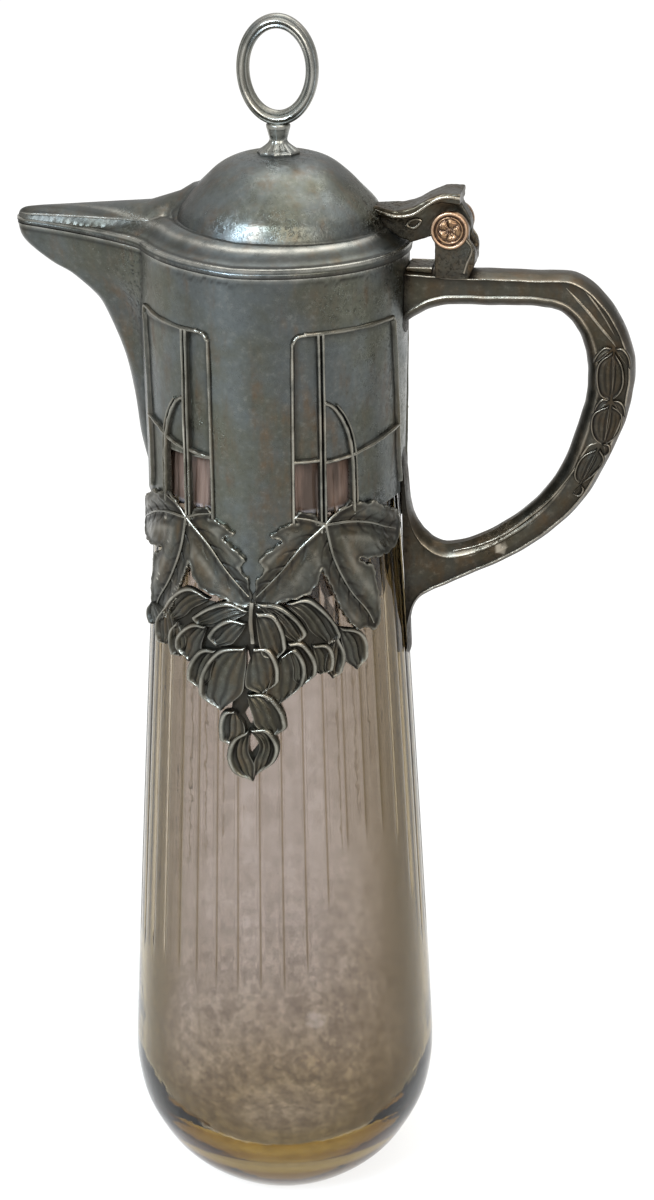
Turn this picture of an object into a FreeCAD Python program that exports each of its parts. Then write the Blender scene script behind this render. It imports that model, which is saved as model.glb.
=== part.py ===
import FreeCAD, Part
import math
import os
import re

import Sketcher

# Lidded claret jug: a glass body in a cast pewter mount, millimetres.
#
# Frame: origin at the centre of the flat foot, +Z up, spout towards -X, handle and hinge towards +X.
# The lid turns about a pin that lies along Y behind the collar.

SIZES = {
    # glass body
    "bulb_radius": 50,
    "bulb_height": 41,
    "shoulder_turn": 3.2,
    "wall_sweep": 12500,
    "neck_top": 290,
    "glass_wall": 2.4,
    "inner_bulb_radius": 46.8,
    "base_thickness": 7,
    # cement ring
    "bed_low": 264,
    "bed_high": 288,
    # collar sleeve
    "sleeve_tip": 215.5,
    "sleeve_waist": 243,
    "sleeve_low": 240,
    "sleeve_high": 320,
    "waist_radius": 39.2,
    "mouth_radius": 40.4,
    "skirt_radius": 40.4,
    "sleeve_wall": 1.2,
    "tongue_half_width": 25,
    # seam between collar and lid
    "seam_height": 313.4,
    "seam_bend": -5,
    "beak_seam_height": 318.5,
    "seam_gap": 0.3,
    # pierced panes
    "pane_low": 243,
    "pane_high": 258,
    "pane_inner_x": 12.8,
    "stalk_x": 20.1,
    "stalk_width": 1.8,
    "arch_x": 28,
    # spout
    "beak_tip": -79,
    "beak_tip_radius": 5,
    "beak_wall": 1.6,
    "beak_root_x": -22,
    "beak_root_y": 33,
    "beak_waist_place": 0.577,
    "beak_waist_width": 0.357,
    "channel_sill": 291.5,
    # raised ornament
    "ornament_gap": 0.05,
    "ornament_tip_radius": 43.1,
    "ornament_tip_height": 160,
    "leaf_thickness": 1.8,
    "grape_thickness": 3,
    "tracery_thickness": 0.9,
    "frame_top": 297,
    "arch_height": 276,
    # handle
    "handle_width": 12,
    "handle_crown": 1.4,
    "handle_crown_width": 5,
    "handle_bevel": 3.2,
    "handle_edge": 5,
    "handle_top": 308.6,
    # root plate
    "root_plate_length": 7.4,
    "root_plate_width": 10,
    "root_plate_thickness": 0.9,
    # hinge
    "pivot_x": 53.2,
    "pivot_height": 321.5,
    "post_left": 48.8,
    "post_right": 57.6,
    "post_foot": 304.5,
    "post_width": 13,
    "ear_radius": 5.5,
    "fork_gap": 6.4,
    "fork_floor": 314.6,
    "knuckle_radius": 6.2,
    "knuckle_width": 6,
    "pin_radius": 1.8,
    "pin_clearance": 0.05,
    "rosette_radius": 5.6,
    "rosette_thickness": 2.1,
    # lid
    "dome_x": 1.8,
    "dome_top": 340.9,
    "dome_flat_radius": 9,
    "dome_radius": 31,
    "dome_foot": 321.6,
    "dome_sweep": 27,
    "lid_radius": 41,
    "lid_wall": 1.6,
    "lid_rim_inner": 33.5,
    "lid_rim_top": 316.9,
    "bezel_radius": 36.8,
    "bezel_wall": 2,
    "bezel_low": 310.4,
    # lever
    "lever_end": 56,
    "lever_top": 332,
    "lever_width": 14,
    # finial
    "foot_radius": 6.4,
    "foot_height": 1.4,
    "stem_neck_radius": 2.7,
    "stem_neck_height": 344.7,
    "stem_top_radius": 3.6,
    "stem_top": 349.1,
    "ring_half_width": 12.05,
    "ring_half_height": 16,
    "ring_hole_half_width": 8.25,
    "ring_hole_half_height": 11.6,
    "ring_centre_height": 365.1,
    "ring_thickness": 4.6,
    "ring_rounding": 1.2,
    "stud_radius": 1.5,
    "nut_width": 6,
    "nut_thickness": 2.4,
}

doc = FreeCAD.newDocument("claret_jug")
sheet = doc.addObject("Spreadsheet::Sheet", "dims")
for row, (alias, value) in enumerate(SIZES.items(), start=1):
    sheet.set("A%d" % row, alias)
    sheet.set("B%d" % row, str(value))
    sheet.setAlias("B%d" % row, alias)
doc.recompute()

ALIAS = re.compile(r"\b(" + "|".join(sorted(SIZES, key=len, reverse=True)) + r")\b")


# ---------------------------------------------------------------- helpers

def formula(text):
    """Turn 'neck_top - 2' into the expression that reads the sheet."""
    return ALIAS.sub(r"dims.\1", str(text))


def size(text):
    """The number that a formula gives now."""
    return float(sheet.evalExpression(formula(text)))


def bind(thing, **properties):
    """Bind properties of an object to formulas on the sheet."""
    for name, text in properties.items():
        thing.setExpression(name.replace("__", "."), formula(text))


def wall_radius(height, inset="0"):
    """Formula for the glass wall's radius at a height; inset moves it inwards."""
    rise = "(bulb_height - (wall_sweep - bulb_radius) * sin(shoulder_turn))"
    shift = "((wall_sweep - bulb_radius) * cos(shoulder_turn))"
    return "(sqrt((wall_sweep - %s)^2 - (%s - %s)^2) - %s)" % (inset, height, rise, shift)


def new_body(label):
    body = doc.addObject("PartDesign::Body", label)
    body.Label = label
    return body


def plane(body, role):
    return next(item for item in body.Origin.OriginFeatures if item.Role == role)


def new_sketch(body, name, role="XZ_Plane", offset=None):
    """A sketch on one of the body's own origin planes, raised by a formula if one is given."""
    sketch = body.newObject("Sketcher::SketchObject", body.Name + "_" + name)
    sketch.AttachmentSupport = [(plane(body, role), "")]
    sketch.MapMode = "FlatFace"
    if offset is not None:
        sketch.setExpression("AttachmentOffset.Base.z", formula(offset))
    return sketch


def free_sketch(name):
    """A sketch in the XZ plane that belongs to no body."""
    sketch = doc.addObject("Sketcher::SketchObject", name)
    sketch.Placement = FreeCAD.Placement(FreeCAD.Vector(), FreeCAD.Rotation(FreeCAD.Vector(1, 0, 0), 90))
    return sketch


def arc_edge(start, end, radius, side):
    """An arc from start to end that bulges to the left (side 1) or to the right (side -1)."""
    chord = end - start
    across = FreeCAD.Vector(chord.y, -chord.x, 0).normalize() * side
    reach = math.sqrt(max(radius ** 2 - chord.Length ** 2 / 4, 0))
    centre = (start + end) * 0.5 + across * reach
    first, last = (end, start) if side > 0 else (start, end)
    turn_from = math.atan2(first.y - centre.y, first.x - centre.x)
    turn_to = math.atan2(last.y - centre.y, last.x - centre.x)
    if turn_to < turn_from:
        turn_to += 2 * math.pi
    circle = Part.Circle(centre, FreeCAD.Vector(0, 0, 1), radius)
    return Part.ArcOfCircle(circle, turn_from, turn_to)


def outline(sketch, corners):
    """A closed, fully constrained outline.

    Each corner is (x, y) or (x, y, radius, side). The radius makes the edge that leaves the corner
    an arc that bulges to the left of the way round (side 1) or to the right (side -1).
    """
    places = [FreeCAD.Vector(size(corner[0]), size(corner[1]), 0) for corner in corners]
    first = sketch.GeometryCount
    starts = []
    for number, corner in enumerate(corners):
        here = places[number]
        there = places[(number + 1) % len(corners)]
        if len(corner) == 2:
            sketch.addGeometry(Part.LineSegment(here, there), False)
            starts.append((1, 2))
        else:
            sketch.addGeometry(arc_edge(here, there, size(corner[2]), corner[3]), False)
            starts.append((2, 1) if corner[3] > 0 else (1, 2))
    for number, corner in enumerate(corners):
        edge = first + number
        before = first + (number - 1) % len(corners)
        start = starts[number][0]
        end_before = starts[(number - 1) % len(corners)][1]
        sketch.addConstraint(Sketcher.Constraint("Coincident", before, end_before, edge, start))
        for kind, text, value in (
            ("DistanceX", corner[0], places[number].x),
            ("DistanceY", corner[1], places[number].y),
        ):
            index = sketch.addConstraint(Sketcher.Constraint(kind, -1, 1, edge, start, value))
            sketch.setExpression("Constraints[%d]" % index, formula(text))
        if len(corner) > 2:
            index = sketch.addConstraint(Sketcher.Constraint("Radius", edge, size(corner[2])))
            sketch.setExpression("Constraints[%d]" % index, formula(corner[2]))
    return sketch


def round_outline(sketch, x, y, radius):
    """A circle held by its centre and its radius."""
    centre = FreeCAD.Vector(size(x), size(y), 0)
    circle = sketch.addGeometry(Part.Circle(centre, FreeCAD.Vector(0, 0, 1), size(radius)), False)
    for kind, text, value in (("DistanceX", x, centre.x), ("DistanceY", y, centre.y)):
        index = sketch.addConstraint(Sketcher.Constraint(kind, -1, 1, circle, 3, value))
        sketch.setExpression("Constraints[%d]" % index, formula(text))
    index = sketch.addConstraint(Sketcher.Constraint("Radius", circle, size(radius)))
    sketch.setExpression("Constraints[%d]" % index, formula(radius))
    return sketch


def revolve(body, sketch, name="turning", kind="PartDesign::Revolution"):
    """Turn a sketch about its own vertical axis."""
    feature = body.newObject(kind, body.Name + "_" + name)
    feature.Profile = sketch
    feature.ReferenceAxis = (sketch, ["V_Axis"])
    feature.Angle = 360
    return feature


def pad(body, sketch, width, name="pad"):
    """A pad of the given width, half to each side of the sketch."""
    feature = body.newObject("PartDesign::Pad", body.Name + "_" + name)
    feature.Profile = sketch
    feature.Midplane = True
    bind(feature, Length=width)
    return feature


def pocket_through(body, sketch, name="pocket"):
    """A pocket that cuts right through, to both sides of the sketch."""
    feature = body.newObject("PartDesign::Pocket", body.Name + "_" + name)
    feature.Profile = sketch
    feature.Midplane = True
    feature.Length = 300
    return feature


def loft(body, sketches, name, kind="PartDesign::AdditiveLoft"):
    feature = body.newObject(kind, body.Name + "_" + name)
    feature.Profile = sketches[0]
    feature.Sections = sketches[1:]
    feature.Ruled = True
    return feature


def box(name, x, y, z, length, width, height):
    block = doc.addObject("Part::Box", name)
    bind(
        block,
        Length=length,
        Width=width,
        Height=height,
        Placement__Base__x=x,
        Placement__Base__y=y,
        Placement__Base__z=z,
    )
    return block


def rod(name, x, y, z, radius, length):
    """A cylinder along +Y."""
    cylinder = doc.addObject("Part::Cylinder", name)
    cylinder.Placement = FreeCAD.Placement(FreeCAD.Vector(), FreeCAD.Rotation(FreeCAD.Vector(1, 0, 0), -90))
    bind(
        cylinder,
        Radius=radius,
        Height=length,
        Placement__Base__x=x,
        Placement__Base__y=y,
        Placement__Base__z=z,
    )
    return cylinder


def boolean(kind, name, base, tool):
    feature = doc.addObject("Part::" + kind, name)
    feature.Label = name
    feature.Base = base
    feature.Tool = tool
    return feature


def fuse(name, shapes):
    feature = doc.addObject("Part::MultiFuse", name)
    feature.Label = name
    feature.Shapes = shapes
    return feature


def extrude_forwards(name, sketch, length=70):
    """Extrude a sketch of the XZ plane towards -Y."""
    feature = doc.addObject("Part::Extrusion", name)
    feature.Base = sketch
    feature.DirMode = "Custom"
    feature.Dir = FreeCAD.Vector(0, -1, 0)
    feature.LengthFwd = length
    feature.Solid = True
    return feature


def mirror(name, source, normal):
    feature = doc.addObject("Part::Mirroring", name)
    feature.Label = name
    feature.Source = source
    feature.Normal = FreeCAD.Vector(*normal)
    return feature


# ---------------------------------------------------------------- shared outlines

def above_seam(gap="0"):
    """The region above the seam: flat over the collar, rising along the beak."""
    rise = "(beak_seam_height - seam_height) * (seam_bend + 110) / (seam_bend - beak_tip)"
    return [
        (70, "seam_height + %s" % gap),
        (70, 360),
        (-110, 360),
        (-110, "seam_height + %s + %s" % (gap, rise)),
        ("seam_bend", "seam_height + %s" % gap),
    ]


def below_seam(gap="0"):
    """The region below the same line."""
    upper = above_seam(gap)
    return [(70, 250), upper[0], upper[4], upper[3], (-110, 250)]


def ornament_foot_line(extra="0"):
    """Corners, from the bottom up, of the surface on which the ornament and the handle sit."""
    return [
        ("ornament_tip_radius + %s" % extra, "ornament_tip_height - 1"),
        ("skirt_radius + ornament_gap + %s" % extra, "sleeve_tip"),
        ("waist_radius + ornament_gap + %s" % extra, "sleeve_waist"),
        ("mouth_radius + ornament_gap + %s" % extra, "seam_height"),
    ]


def beak_section(body, name, height, tip, tip_radius, root_x="beak_root_x", root_y="beak_root_y"):
    """A level section of the beak: a straight back, two flanks drawn in at the waist and a round tip."""
    sketch = new_sketch(body, name, "XY_Plane", height)
    shoulder_x = "%s + %s" % (tip, tip_radius)
    waist_x = "(%s) + beak_waist_place * ((%s) - (%s))" % (shoulder_x, root_x, shoulder_x)
    waist_y = "(%s) + beak_waist_width * ((%s) - (%s))" % (tip_radius, root_y, tip_radius)
    corners = [
        (root_x, "-(%s)" % root_y),
        (root_x, root_y),
        (waist_x, waist_y),
        (shoulder_x, tip_radius, "1.02 * (%s)" % tip_radius, -1),
        (shoulder_x, "-(%s)" % tip_radius),
        (waist_x, "-(%s)" % waist_y),
    ]
    return outline(sketch, corners)


# ---------------------------------------------------------------- glass and cement

def make_glass_body():
    body = new_body("glass_body")
    foot_radius = "sqrt(bulb_radius^2 - bulb_height^2)"
    shoulder = ("bulb_radius * cos(shoulder_turn)", "bulb_height + bulb_radius * sin(shoulder_turn)")
    inner_centre = "(base_thickness + inner_bulb_radius)"
    inner_shoulder_height = "(%s + inner_bulb_radius * sin(shoulder_turn))" % inner_centre
    inner_shoulder = (wall_radius(inner_shoulder_height, "glass_wall"), inner_shoulder_height)
    profile = [
        (0, 0),
        (foot_radius, 0, "bulb_radius", -1),
        (shoulder[0], shoulder[1], "wall_sweep", -1),
        (wall_radius("neck_top"), "neck_top"),
        (wall_radius("neck_top", "glass_wall"), "neck_top", "wall_sweep - glass_wall", 1),
        (inner_shoulder[0], inner_shoulder[1], "inner_bulb_radius", 1),
        (0, "base_thickness"),
    ]
    revolve(body, outline(new_sketch(body, "profile"), profile))
    return body


def make_plaster_bed():
    body = new_body("plaster_bed")
    slope = "(mouth_radius - waist_radius) / (seam_height - sleeve_waist)"
    sleeve_inner = "waist_radius - sleeve_wall + (%s - sleeve_waist) * " + slope
    profile = [
        (wall_radius("bed_low"), "bed_low"),
        (sleeve_inner % "bed_low", "bed_low"),
        (sleeve_inner % "bed_high", "bed_high"),
        (wall_radius("bed_high"), "bed_high", "wall_sweep", 1),
    ]
    revolve(body, outline(new_sketch(body, "profile"), profile))
    return body


# ---------------------------------------------------------------- collar and spout

def make_collar_sleeve():
    body = new_body("collar_sleeve")
    slope = "(mouth_radius - waist_radius) / (seam_height - sleeve_waist)"
    top_radius = "waist_radius + (sleeve_high - sleeve_waist) * " + slope
    profile = [
        ("skirt_radius - sleeve_wall", "sleeve_tip"),
        ("skirt_radius", "sleeve_tip"),
        ("waist_radius", "sleeve_waist"),
        (top_radius, "sleeve_high"),
        (top_radius + " - sleeve_wall", "sleeve_high"),
        ("waist_radius - sleeve_wall", "sleeve_waist"),
    ]
    revolve(body, outline(new_sketch(body, "profile"), profile))

    for name, side in (("left_skirt", -1), ("right_skirt", 1)):
        skirt = new_sketch(body, name)
        corners = [
            (3 * side, 200),
            (60 * side, 200),
            (60 * side, "sleeve_low"),
            ("%d * tongue_half_width" % side, "sleeve_low"),
            (3 * side, "sleeve_tip"),
        ]
        pocket_through(body, outline(skirt, corners), name + "_trim")

    top = outline(new_sketch(body, "seam"), above_seam())
    pocket_through(body, top, "seam_trim")

    for name, low_x, high_x in (
        ("inner_pane", "pane_inner_x", "stalk_x - stalk_width / 2"),
        ("outer_pane", "stalk_x + stalk_width / 2", "arch_x - stalk_width / 2"),
    ):
        for hand, side in (("left", -1), ("right", 1)):
            pane = new_sketch(body, hand + "_" + name)
            corners = [
                ("%d * (%s)" % (side, low_x), "pane_low"),
                ("%d * (%s)" % (side, high_x), "pane_low"),
                ("%d * (%s)" % (side, high_x), "pane_high"),
                ("%d * (%s)" % (side, low_x), "pane_high"),
            ]
            pocket_through(body, outline(pane, corners), hand + "_" + name + "_cut")

    mouth = new_sketch(body, "channel", "YZ_Plane")
    corners = [(-12, "channel_sill"), (12, "channel_sill"), (26, "sleeve_high + 1"), (-26, "sleeve_high + 1")]
    outline(mouth, corners)
    channel = body.newObject("PartDesign::Pocket", body.Name + "_channel_cut")
    channel.Profile = mouth
    channel.Reversed = False
    channel.Length = 60
    return body


SPOUT_SECTIONS = (
    # height, tip, tip radius, half width where it meets the collar
    ("254", "-(waist_radius + 2.8)", "9", "28"),
    ("267", "-(waist_radius + 4.5)", "8", "28"),
    ("280", "-(waist_radius + 7.4)", "7", "29"),
    ("292", "-(waist_radius + 12.2)", "6", "30"),
    ("300", "-(waist_radius + 17.8)", "5.4", "32"),
    ("307", "-(waist_radius + 29.6)", "beak_tip_radius", "beak_root_y"),
    ("313", "beak_tip + 2.8", "beak_tip_radius", "beak_root_y"),
    ("beak_seam_height", "beak_tip", "beak_tip_radius", "beak_root_y"),
    ("beak_seam_height + 2", "beak_tip", "beak_tip_radius", "beak_root_y"),
)


def make_spout():
    body = new_body("spout")
    outer = []
    inner = []
    for number, (height, tip, tip_radius, root_y) in enumerate(SPOUT_SECTIONS):
        name = "section_%d" % number
        outer.append(beak_section(body, name, height, tip, tip_radius, root_y=root_y))
    loft(body, outer, "shell")
    hollow_sections = SPOUT_SECTIONS[2:]
    for number, (height, tip, tip_radius, root_y) in enumerate(hollow_sections):
        rise = "0.02" if number == len(hollow_sections) - 1 else "1.5 * beak_wall"
        sketch = beak_section(
            body,
            "hollow_%d" % number,
            "%s + %s" % (height, rise),
            "%s + beak_wall * 1.2" % tip,
            "%s - beak_wall" % tip_radius,
            "beak_root_x + 1",
            "%s - 2.6 * beak_wall" % root_y,
        )
        inner.append(sketch)
    loft(body, inner, "channel", "PartDesign::SubtractiveLoft")
    pocket_through(body, outline(new_sketch(body, "seam"), above_seam()), "seam_trim")
    slope = "(mouth_radius - waist_radius) / (seam_height - sleeve_waist)"
    top_radius = "waist_radius + ornament_gap + (sleeve_high - sleeve_waist) * " + slope
    profile = [
        (0, 230),
        ("waist_radius + ornament_gap", 230),
        ("waist_radius + ornament_gap", "sleeve_waist"),
        (top_radius, "sleeve_high"),
        (0, "sleeve_high"),
    ]
    revolve(body, outline(new_sketch(body, "bore"), profile), "bore_cut", "PartDesign::Groove")
    return body


# ---------------------------------------------------------------- raised ornament

def make_ornament_skin(label, thickness):
    """A thin skin of revolution; the ornament is cut out of it."""
    body = new_body(label)
    inner = ornament_foot_line()
    outer = ornament_foot_line(thickness)
    revolve(body, outline(new_sketch(body, "profile"), outer + inner[::-1]))
    return body


LEAF = (
    # x share of the skin's width and height of each corner, from the inner tip round the top
    (0.6, 215.6), (3.0, 226.0), (6.0, 231.5), (5.0, 236.5), (9.5, 240.5), (13.5, 242.8),
    (19.0, 241.5), (21.2, 238.0), (24.5, 243.0), (28.5, 244.6), (33.5, 242.0), (37.2, 236.5),
    (39.0, 230.0), (38.0, 225.4), (34.0, 225.4), (34.6, 217.0), (35.5, 208.0), (33.8, 202.5),
    (30.0, 205.0), (25.0, 212.0), (20.6, 224.0), (16.6, 217.5), (11.0, 216.0), (6.4, 213.8),
)

BUNCH = (
    # half outline of the hanging bunch, from its tip up
    (0, 160.3), (3.6, 164.5), (7.4, 174.5), (9.6, 181.0), (14.5, 187.0), (19.0, 191.2),
    (27.0, 195.0), (33.4, 200.0), (29.0, 204.0), (24.4, 210.4), (20.4, 216.0), (11.2, 214.6), (6.4, 212.4),
)


def make_leaf(skin):
    sketch = free_sketch("leaf_outline")
    outline(sketch, LEAF)
    cutter = extrude_forwards("leaf_cutter", sketch)
    return boolean("Common", "leaf_front_right", skin, cutter)


def make_bunch(skin):
    sketch = free_sketch("bunch_outline")
    left = [(-x, height) for x, height in BUNCH[:0:-1]]
    outline(sketch, list(BUNCH) + [(0, 214.2)] + left)
    cutter = extrude_forwards("bunch_cutter", sketch)
    return boolean("Common", "grapes_front", skin, cutter)


def make_tracery(skin):
    """Frames, stalks, arches and cross bars on both sides of the plain panel."""
    low = "pane_low + 2"
    bars = []
    for name, x, high in (
        ("frame_bar", "pane_inner_x - stalk_width", "frame_top"),
        ("stalk_bar", "stalk_x - stalk_width / 2", "frame_top"),
        ("arch_bar", "arch_x - stalk_width / 2", "arch_height - 8"),
    ):
        bars.append(box(name, x, -70, low, "stalk_width", 70, "%s - (%s)" % (high, low)))
    bars.append(
        box("top_bar", "pane_inner_x - stalk_width", -70, "frame_top - stalk_width", 22.5, 70, "stalk_width")
    )
    bars.append(box("cross_bar", "pane_inner_x - 1", -70, "pane_high", 21, 70, "stalk_width"))
    arch = free_sketch("arch_outline")
    corners = [
        ("stalk_x", "arch_height"),
        ("stalk_x", "arch_height - stalk_width"),
        ("arch_x - stalk_width / 2", "arch_height - 9"),
        ("arch_x + stalk_width / 2", "arch_height - 9"),
    ]
    outline(arch, corners)
    bars.append(extrude_forwards("arch_bend", arch))
    right = boolean("Common", "tracery_right", skin, fuse("tracery_bars", bars))
    left = mirror("tracery_left", right, (1, 0, 0))
    return fuse("tracery_front", [right, left])


# ---------------------------------------------------------------- handle and hinge

HANDLE_STATIONS = (
    # centre x and z, way the outer side faces in degrees above +X, depth across, half width
    (36.0, 299.0, 90, 20.2, 6.2),
    (42.0, 301.3, 90, 15.6, 6.2),
    (50.0, 303.0, 90, 11.2, 6.2),
    (79.0, 303.4, 88, 10.3, 6.1),
    (88.6, 302.2, 58, 12.1, 6.0),
    (96.2, 294.7, 30, 12.4, 6.0),
    (100.5, 284.0, 6, 13.9, 6.0),
    (100.7, 273.4, -4, 13.6, 6.0),
    (98.2, 262.4, -13, 12.9, 5.9),
    (91.1, 244.7, -32, 11.2, 5.7),
    (81.2, 232.4, -47, 10.3, 5.4),
    (68.3, 222.9, -57, 9.8, 5.2),
    (55.0, 217.0, -72, 11.6, 5.2),
    (46.6, 217.4, -88, 20.0, 5.2),
    (43.0, 212.0, -90, 46.0, 5.2),
    (37.0, 212.0, -90, 52.0, 5.2),
)


def handle_section(number, x, height, facing, depth, half_width):
    """An eight-sided section across the handle: a low crown outside, two flat sides, a bevelled inner edge."""
    sketch = doc.addObject("Sketcher::SketchObject", "handle_section_%d" % number)
    turn = math.radians(facing)
    across = FreeCAD.Vector(0, 1, 0)
    outward = FreeCAD.Vector(math.cos(turn), 0, math.sin(turn))
    along = across.cross(outward)
    sketch.Placement = FreeCAD.Placement(
        FreeCAD.Vector(x, 0, height), FreeCAD.Rotation(across, outward, along, "XYZ")
    )
    crown = "%s * handle_crown_width / handle_width" % half_width
    inner = "%s * handle_edge / handle_width" % half_width
    right = [
        (crown, depth / 2),
        (half_width, "%s - handle_crown" % (depth / 2)),
        (half_width, "handle_bevel - %s" % (depth / 2)),
        (inner, -depth / 2),
    ]
    left = [("-(%s)" % corner[0], corner[1]) for corner in right[::-1]]
    return outline(sketch, right + left)


def root_relief(name):
    """The solid of revolution that keeps the handle out of the collar and the glass."""
    body = new_body(name)
    line = ornament_foot_line()
    profile = [(0, line[0][1])] + line + [(0, "seam_height")]
    revolve(body, outline(new_sketch(body, "profile"), profile))
    return body


def make_handle():
    arm = doc.addObject("Part::Loft", "handle_arm")
    arm.Sections = [handle_section(number, *station) for number, station in enumerate(HANDLE_STATIONS)]
    arm.Solid = True
    arm.Ruled = True
    return boolean("Cut", "handle", arm, root_relief("handle_relief"))


def make_root_plate(handle):
    plate = box(
        "root_plate_block",
        "mouth_radius - 1",
        "-root_plate_width / 2",
        "post_foot",
        "root_plate_length + 1",
        "root_plate_width",
        "handle_top + root_plate_thickness - post_foot",
    )
    relieved = boolean("Cut", "root_plate_trimmed", plate, root_relief("root_plate_relief"))
    return boolean("Cut", "root_plate", relieved, handle)


def make_hinge_post(handle):
    body = new_body("post_block")
    corners = [
        ("post_left", "post_foot"),
        ("post_right", "post_foot"),
        ("post_right + 2.8", 311),
        ("post_right + 3", 315.5),
        ("post_right + 1", "pivot_height - 3.2"),
        ("pivot_x + ear_radius", "pivot_height", "1.01 * ear_radius", -1),
        ("pivot_x - ear_radius", "pivot_height"),
        ("post_left", "pivot_height - 5"),
    ]
    pad(body, outline(new_sketch(body, "side"), corners), "post_width")

    fork = new_sketch(body, "fork")
    corners = [(30, "fork_floor"), (80, "fork_floor"), (80, 340), (30, 340)]
    gap = body.newObject("PartDesign::Pocket", "fork_cut")
    gap.Profile = outline(fork, corners)
    gap.Midplane = True
    bind(gap, Length="fork_gap")

    bore = round_outline(new_sketch(body, "bore"), "pivot_x", "pivot_height", "pin_radius")
    pocket_through(body, bore, "bore_cut")
    return boolean("Cut", "hinge_post", body, handle)


def make_pin_parts():
    pin = rod("hinge_pin", "pivot_x", "-post_width / 2", "pivot_height", "pin_radius", "post_width")
    pin.Label = "hinge_pin"
    front = rod(
        "rosette_front",
        "pivot_x",
        "-post_width / 2 - rosette_thickness",
        "pivot_height",
        "rosette_radius",
        "rosette_thickness",
    )
    front.Label = "rosette_front"
    back = rod(
        "rosette_back", "pivot_x", "post_width / 2", "pivot_height", "rosette_radius", "rosette_thickness"
    )
    back.Label = "rosette_back"
    return [pin, front, back]


# ---------------------------------------------------------------- lid

def dome_profile(inset):
    """Half section of the dome, moved inwards by inset."""
    return [
        (0, "seam_height - 1"),
        ("dome_radius - %s" % inset, "seam_height - 1"),
        ("dome_radius - %s" % inset, "dome_foot", "dome_sweep", -1),
        ("dome_flat_radius", "dome_top - %s" % inset),
        (0, "dome_top - %s" % inset),
    ]


COVER_SECTIONS = (
    # height, tip, tip radius, root half width
    ("seam_height - 1", "beak_tip", "beak_tip_radius", "beak_root_y"),
    ("beak_seam_height + 0.6", "beak_tip", "beak_tip_radius", "beak_root_y - 1"),
    ("321.6", "beak_tip + 3.2", "beak_tip_radius - 1.2", "beak_root_y - 9"),
    ("323.4", "beak_tip + 8.5", "beak_tip_radius - 2.2", "beak_root_y - 14"),
    ("325.2", "beak_tip + 34", "3", "10"),
)


def make_lid_shell():
    body = new_body("lid_shell")
    flange = [
        ("dome_radius - 4", "seam_height - 1"),
        ("lid_radius", "seam_height - 1"),
        ("lid_radius", "lid_rim_top"),
        ("lid_radius - 3", "lid_rim_top + 0.8"),
        ("lid_radius - 6", "lid_rim_top + 3"),
        ("dome_radius", "dome_foot"),
        ("dome_radius - 4", "dome_foot"),
    ]
    revolve(body, outline(new_sketch(body, "flange"), flange), "flange_turning")

    dome = new_sketch(body, "dome")
    dome.setExpression("AttachmentOffset.Base.x", formula("dome_x"))
    revolve(body, outline(dome, dome_profile("0")), "dome_turning")

    cover = []
    hollow = []
    for number, (height, tip, tip_radius, root_y) in enumerate(COVER_SECTIONS):
        cover.append(beak_section(body, "cover_%d" % number, height, tip, tip_radius, root_y=root_y))
    loft(body, cover, "cover")
    for number, (height, tip, tip_radius, root_y) in enumerate(COVER_SECTIONS[:4]):
        sketch = beak_section(
            body,
            "cover_hollow_%d" % number,
            "%s - lid_wall" % height,
            "%s + 1.5 * lid_wall" % tip,
            "%s - 0.9" % tip_radius,
            "-(lid_radius + 1.5)",
            "(%s) / 4" % root_y,
        )
        hollow.append(sketch)
    loft(body, hollow, "cover_channel", "PartDesign::SubtractiveLoft")

    inside = new_sketch(body, "inside")
    inside.setExpression("AttachmentOffset.Base.x", formula("dome_x"))
    inner = dome_profile("lid_wall")
    revolve(body, outline(inside, inner), "inside_cut", "PartDesign::Groove")
    recess = [
        (0, "seam_height - 1"),
        ("lid_rim_inner", "seam_height - 1"),
        ("lid_rim_inner", "lid_rim_top"),
        (0, "lid_rim_top"),
    ]
    revolve(body, outline(new_sketch(body, "recess"), recess), "recess_cut", "PartDesign::Groove")

    hole = round_outline(new_sketch(body, "stud_hole", "XY_Plane"), "dome_x", 0, "stud_radius")
    drill = body.newObject("PartDesign::Pocket", "stud_hole_cut")
    drill.Profile = hole
    drill.Reversed = True
    drill.Length = 400

    pocket_through(body, outline(new_sketch(body, "seam"), below_seam("seam_gap")), "seam_trim")
    return body


def make_lid_bezel():
    body = new_body("lid_bezel")
    profile = [
        ("bezel_radius - bezel_wall", "bezel_low"),
        ("bezel_radius", "bezel_low"),
        ("bezel_radius", "lid_rim_top - 0.4"),
        ("bezel_radius - bezel_wall", "lid_rim_top - 0.4"),
    ]
    revolve(body, outline(new_sketch(body, "profile"), profile))
    top = outline(new_sketch(body, "seam"), above_seam("seam_gap"))
    pocket_through(body, top, "seam_trim")
    return body


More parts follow.
